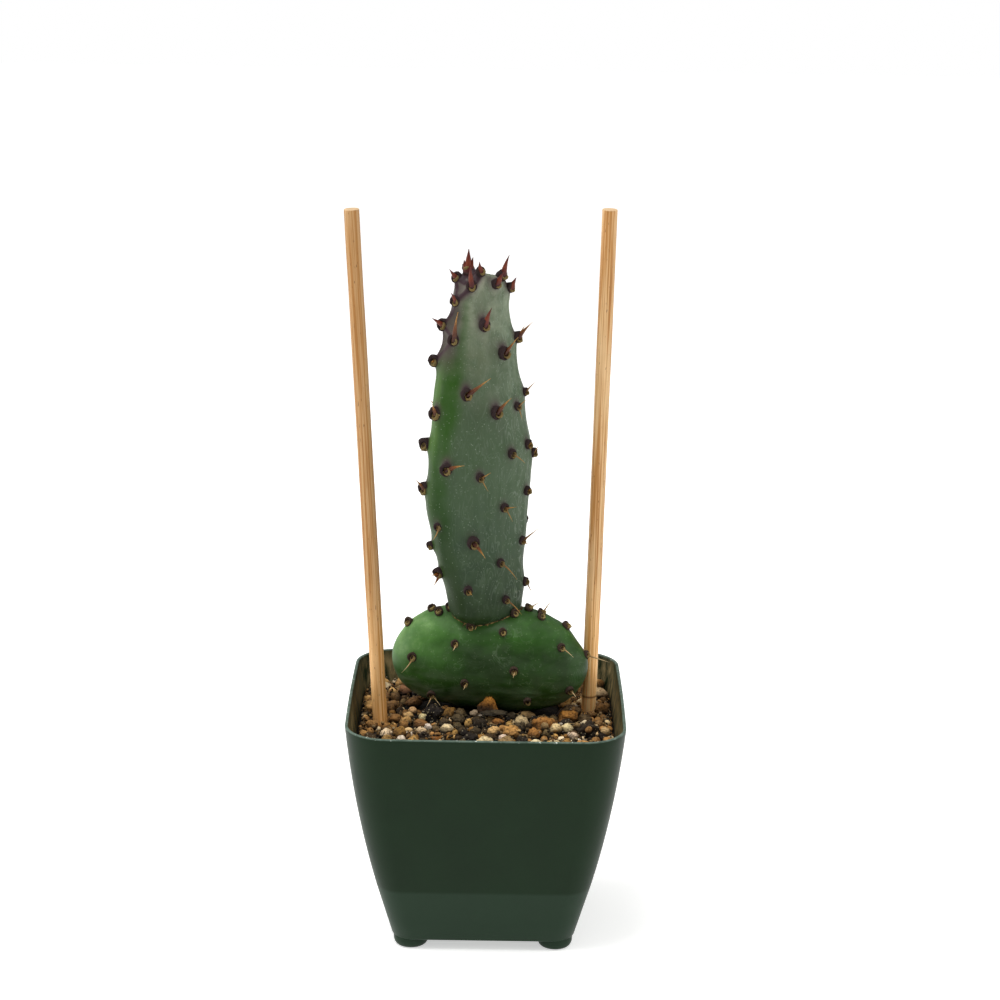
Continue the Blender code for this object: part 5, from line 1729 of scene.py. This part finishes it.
class PRICKLY_OT_make_areoles(bpy.types.Operator):
    """Builds the areoles of both pads: a felted cup with wool and fine bristles"""

    bl_idname = "prickly.make_areoles"
    bl_label = "Areoles"

    def execute(self, context):
        look = context.scene.prickly_areoles
        felt = areole_felt(look)
        draw = random.Random(CUP_SEED)
        lower = [*lower_areoles(SEAM_BARE), *seam_areoles()]
        for pad, areoles in (("upper_pad", upper_areoles()), ("lower_pad", lower)):
            cups, bristles = bmesh.new(), bmesh.new()
            worn = WORN_TONE if pad == "lower_pad" else 0
            for point, normal, kind, _ in areoles:
                seat, axes = seat_of(point, normal)
                scale = CUP_KINDS[kind][0] * draw.uniform(0.92, 1.1)
                place = Matrix.Translation(seat) @ axes.to_4x4() @ Matrix.Scale(scale, 4)
                open_side = math.radians(draw.uniform(-75, -25))
                rims = [self.felted_rim(draw, open_side, size, tone + worn) for size, tone in CUP_RINGS]
                for part in (*rims, self.felt_pad(draw), *self.wool_bits(draw)):
                    bmesh.ops.transform(part, matrix=place, verts=part.verts)
                    add_part(cups, part)
                for _ in range(look.bristles):
                    root = Vector((draw.uniform(-0.0004, 0.0005), draw.uniform(-0.0006, 0.0004), 0.0002))
                    away = Vector((draw.uniform(-0.0007, 0.0010), draw.uniform(-0.0010, 0.0010), 0.0011))
                    part = bowed_spine(root, root + away, Vector(), 0.00006, 3)
                    bmesh.ops.transform(part, matrix=place, verts=part.verts)
                    add_part(bristles, part)
            stops = [(0.0, "#5c3d22"), (0.6, "#9a7440"), (1.0, "#c6a468")]
            add_piece(pad + "_areoles", cups, felt, pad)
            add_piece(pad + "_bristles", bristles, spine_horn("barbed bristle", stops, 0.6), pad)
        return {"FINISHED"}

    def felted_rim(self, draw, open_side, share, tone):
        """A ring spun round the areole and drawn out to an oval, lowest and thinnest at its open side."""
        wide, tall, thick = [share * size for size in CUP]
        mesh = bmesh.new()
        upright = Matrix.Translation((1, 0, 0)) @ Matrix.Rotation(math.radians(90), 4, "X")
        bmesh.ops.create_circle(mesh, segments=CUP_SIDES, radius=CUP_TUBE, matrix=upright)
        whole_turn = {"cent": (0, 0, 0), "axis": (0, 0, 1), "angle": math.tau, "steps": CUP_STEPS, "use_merge": True}
        bmesh.ops.spin(mesh, geom=mesh.verts[:] + mesh.edges[:], **whole_turn)
        bmesh.ops.recalc_face_normals(mesh, faces=mesh.faces)
        seed = Vector((draw.uniform(0, 90), 0, 0))
        middle = (1 - share) * 0.0005
        for vert in mesh.verts:
            turn = math.atan2(vert.co.y, vert.co.x)
            ring = Vector((math.cos(turn), math.sin(turn), 0))
            offset = (vert.co - ring) / CUP_TUBE
            away = math.cos(turn - open_side) * (1 if share == 1 else -1)
            bulk = 0.58 - 0.42 * away + 0.28 * noise.noise(ring * 2.2 + seed)
            flat = Vector((ring.x * wide, ring.y * tall, 0.0002 + 0.0007 * bulk + middle))
            flat += Vector((middle * math.cos(open_side), middle * math.sin(open_side), 0))
            vert.co = flat + offset * thick * bulk * (1 + 0.25 * noise.noise(vert.co * 5 + seed))
            if offset.z < -0.1:
                # The rim's wall goes down into the skin
                vert.co.z = -CUP_ROOT
        fill_layer(mesh, "tone", tone)
        return mesh

    def felt_pad(self, draw):
        """The felt that fills the cup, domed and uneven, on a dark root that closes it underneath."""
        wide, tall, _ = CUP
        mesh = bmesh.new()
        bmesh.ops.create_icosphere(mesh, subdivisions=2, radius=1)
        seed = Vector((draw.uniform(0, 90), 0, 0))
        for vert in mesh.verts:
            vert.co *= 1 + 0.35 * noise.noise(vert.co * 1.9 + seed)
        bmesh.ops.scale(mesh, vec=(wide, tall, FELT_THICKNESS), verts=mesh.verts)
        bmesh.ops.translate(mesh, vec=(0, 0, -FELT_SINK), verts=mesh.verts)
        tone = mesh.verts.layers.float.new("tone")
        for vert in mesh.verts:
            vert[tone] = FELT_TONE if vert.co.z > 0.0001 else FELT_ROOT_TONE
        return mesh

    def wool_bits(self, draw):
        """Cream crumbs of wool along the lower right of the cup."""
        wide, tall, _ = CUP
        for _ in range(draw.randint(3, 6)):
            turn = math.radians(draw.uniform(-130, 10))
            mesh = bmesh.new()
            bmesh.ops.create_icosphere(mesh, subdivisions=1, radius=draw.uniform(0.00012, 0.00026))
            out = draw.uniform(0.55, 0.95)
            spot = (out * wide * math.cos(turn), out * tall * math.sin(turn), 0.00040)
            bmesh.ops.translate(mesh, vec=spot, verts=mesh.verts)
            fill_layer(mesh, "tone", draw.uniform(0.65, 1.0))
            yield mesh


class PRICKLY_OT_make_spines(bpy.types.Operator):
    """Builds the spines and young leaves, each at the tip that its areole gives it"""

    bl_idname = "prickly.make_spines"
    bl_label = "Spines and leaves"

    def execute(self, context):
        look = context.scene.prickly_spines
        draw = random.Random(SPINE_SEED)
        leaf = [(0.0, "#2c1512"), (0.22, look.leaf), (0.5, look.leaf_tip), (0.85, look.leaf)]
        stout = [(0.0, "#2c1512"), (0.25, look.stout), (0.55, "#6a3c14"), (0.85, look.horn)]
        horns = {
            "leaf": ("young red leaf", leaf, 0.42),
            "stout": ("stout spine horn", stout, 0.4),
            "fine": ("fine spine horn", [(0.0, "#3c2616"), (0.35, "#7d5a30"), (0.8, look.horn)], 0.45),
            "old": ("bleached spine horn", [(0.0, "#6b4c2c"), (0.3, "#a98555"), (0.8, "#d2b98a")], 0.5),
        }
        materials = {kind: spine_horn(*facts) for kind, facts in horns.items()}
        for pad, areoles in (("upper_pad", upper_areoles()), ("lower_pad", lower_areoles(SEAM_BARE))):
            wholes = {kind: bmesh.new() for kind in SPINE_FORMS}
            for areole in areoles:
                for number in range(len(areole[-1])):
                    self.add_spine(wholes, areole, number, look, draw)
            for kind, whole in wholes.items():
                if whole.verts:
                    material = materials["old" if pad == "lower_pad" else kind]
                    add_piece(f"{pad}_{kind}_spines", whole, material, pad)
                else:
                    whole.free()
        return {"FINISHED"}

    def add_spine(self, wholes, areole, number, look, draw):
        """Adds an areole's spine of this number to the whole of its kind."""
        point, normal, kind, tips = areole
        radius, sides, swell = SPINE_FORMS[kind]
        tip = Vector(tips[number])
        seat, axes = seat_of(point, normal)
        root = seat + axes @ Vector(SPINE_SEAT) - tip.normalized() * SPINE_SINK
        tuft = len(tips) > 2
        if tuft:
            # Leaves of one tuft stand side by side
            root += Vector((TUFT_SPREAD * tip.x, 0, -TUFT_SINK))
        side = tip.cross(axes @ Vector((0, 0, 1))).normalized()
        bow = side * draw.uniform(-1.6, 0.4) * look.bend * tip.length
        thin = radius * draw.uniform(0.85, 1.1) * (0.8 if number else 1)
        if kind == "leaf":
            thin *= (0.70 + 0.22 * tip.length / SPIKE_RISE[1]) * (TUFT_STOUTNESS if tuft else 1)
        add_part(wholes[kind], bowed_spine(root, seat + tip, bow, thin, sides, swell))


# Sticks


class PRICKLY_OT_make_stakes(bpy.types.Operator):
    """Builds the two bamboo sticks, a little uneven, with their sawn tops and node rings"""

    bl_idname = "prickly.make_stakes"
    bl_label = "Sticks"

    def execute(self, context):
        look = context.scene.prickly_stakes
        wood = bamboo(look)
        for number, (name, (surface, top, nodes)) in enumerate(STAKES.items()):
            along = (top - surface).normalized()
            foot = top - along * STAKE_LENGTH
            rotation = along.to_track_quat("Z", "Y").to_matrix()
            places = [0.0, STAKE_CHAMFER]
            places += [STAKE_LENGTH * (i + 1) / (STAKE_RINGS + 1) for i in range(STAKE_RINGS)]
            places += [STAKE_LENGTH - STAKE_CHAMFER, STAKE_LENGTH]
            places += [node + step * NODE_RING_STEP for node in nodes for step in range(-4, 5)]
            places.sort()
            rings = []
            for place in places:
                end = place < STAKE_CHAMFER / 2 or place > STAKE_LENGTH - STAKE_CHAMFER / 2
                radius = STAKE_RADIUS - (STAKE_CHAMFER if end else 0)
                round_points = circle((0, 0), radius, place, STAKE_SIDES)
                rings.append([self.wander(point, place, number, look) for point in round_points])
            near = [max([self.ring_tone(place - node) for node in nodes], default=0) for place in places]
            mesh = loft(rings, "node", near)
            grain = mesh.verts.layers.float_vector.new("grain")
            for vert in mesh.verts:
                vert[grain] = vert.co + Vector((number * 0.03, 0, 0))
            bmesh.ops.transform(mesh, matrix=Matrix.Translation(foot) @ rotation.to_4x4(), verts=mesh.verts)
            add_piece(name + "_bamboo", mesh, wood, "stake", [name], SHARP_ANGLE)
        return {"FINISHED"}

    def ring_tone(self, away):
        """How brown a stick is this far from a node ring."""
        return 0.9 * math.exp(-((away / NODE_RING_WIDTH) ** 2))

    def wander(self, point, place, number, look):
        """Moves a point in by the unevenness of a sanded stick, never out past its round."""
        outward = Vector((point.x, point.y, 0)).normalized()
        sway = noise.noise(Vector((outward.x * 1.6, outward.y * 1.6, place * 45 + 20 * number)))
        return point - outward * look.wander * (1 + sway)


# Stage


class PRICKLY_OT_make_stage(bpy.types.Operator):
    """Sets the pale floor, the background, the softboxes and the camera"""

    bl_idname = "prickly.make_stage"
    bl_label = "Stage"

    def execute(self, context):
        look = context.scene.prickly_stage
        self.lay_floor(look)
        self.light_air(context, look)
        for light in LIGHTS:
            self.add_softbox(look, *light)
        camera = bpy.data.cameras.new("camera")
        camera.lens = CAMERA_LENS
        camera.sensor_width = 36
        camera.clip_end = 60
        viewer = link_object("camera", camera)
        down = Matrix.Rotation(math.radians(90 - CAMERA_DOWN), 4, "X")
        roll = Matrix.Rotation(math.radians(CAMERA_ROLL), 4, "Z")
        viewer.matrix_world = Matrix.Translation(CAMERA_PLACE) @ down @ roll
        context.scene.camera = viewer
        context.scene.view_settings.view_transform = "Standard"
        return {"FINISHED"}

    def lay_floor(self, look):
        mesh = bmesh.new()
        bmesh.ops.create_grid(mesh, x_segments=2, y_segments=2, size=FLOOR_SIZE)
        floor = link_object("floor", as_data("floor", mesh))
        material, _, _ = new_material("matt studio paper")
        facts = {"Specular_IOR_Level": 0.0, "Emission_Color": (1, 1, 1), "Emission_Strength": look.glow}
        finish_material(material, Base_Color=look.floor, Roughness=1.0, **facts)
        floor.data.materials.append(material)

    def light_air(self, context, look):
        """A world that is the backdrop's colour to the camera and gives soft light from all round."""
        world = bpy.data.worlds.new("studio air")
        world.use_nodes = True
        world.node_tree.nodes.clear()
        add = functools.partial(add_node, world.node_tree)
        seen = add("LightPath", "Is Camera Ray")
        air = add("Background", Color=(1, 1, 1), Strength=look.air)
        backdrop = add("Background", Color=look.backdrop, Strength=1.0)
        add("OutputWorld", Surface=add("MixShader", Fac=seen, Shader=(air, backdrop)))
        context.scene.world = world

    def add_softbox(self, look, name, place, size, field, target):
        data = bpy.data.lights.new(name, "AREA")
        data.shape = "RECTANGLE"
        data.size, data.size_y = size
        data.energy = getattr(look, field)
        aim = Vector(target) - Vector(place)
        turn = aim.to_track_quat("-Z", "Y").to_matrix().to_4x4()
        link_object(name, data).matrix_world = Matrix.Translation(place) @ turn


# Panel and registration


class PRICKLY_PT_panel(bpy.types.Panel):
    """Lists the pieces of the plant with their settings"""

    bl_idname = "PRICKLY_PT_panel"
    bl_label = "Potted prickly pear"
    bl_space_type = "VIEW_3D"
    bl_region_type = "UI"
    bl_category = "Prickly pear"

    def draw(self, context):
        for operator in OPERATORS:
            self.layout.operator(operator.bl_idname)
        for name, group in SETTINGS.items():
            box = self.layout.box()
            box.label(text=name.removeprefix("prickly_").capitalize())
            for field in group.__annotations__:
                box.prop(getattr(context.scene, name), field)


OPERATORS = (
    PRICKLY_OT_make_pot,
    PRICKLY_OT_make_soil,
    PRICKLY_OT_make_pads,
    PRICKLY_OT_make_areoles,
    PRICKLY_OT_make_spines,
    PRICKLY_OT_make_stakes,
    PRICKLY_OT_make_stage,
)


def register():
    for group in (*SETTINGS.values(), *OPERATORS, PRICKLY_PT_panel):
        bpy.utils.register_class(group)
    for name, group in SETTINGS.items():
        setattr(bpy.types.Scene, name, PointerProperty(type=group))


def unregister():
    for name in SETTINGS:
        delattr(bpy.types.Scene, name)
    for group in (PRICKLY_PT_panel, *reversed(OPERATORS), *reversed(SETTINGS.values())):
        bpy.utils.unregister_class(group)


def main():
    register()
    bpy.ops.prickly.make_pot()
    bpy.ops.prickly.make_soil()
    bpy.ops.prickly.make_pads()
    bpy.ops.prickly.make_areoles()
    bpy.ops.prickly.make_spines()
    bpy.ops.prickly.make_stakes()
    bpy.ops.prickly.make_stage()


if __name__ == "__main__":
    main()
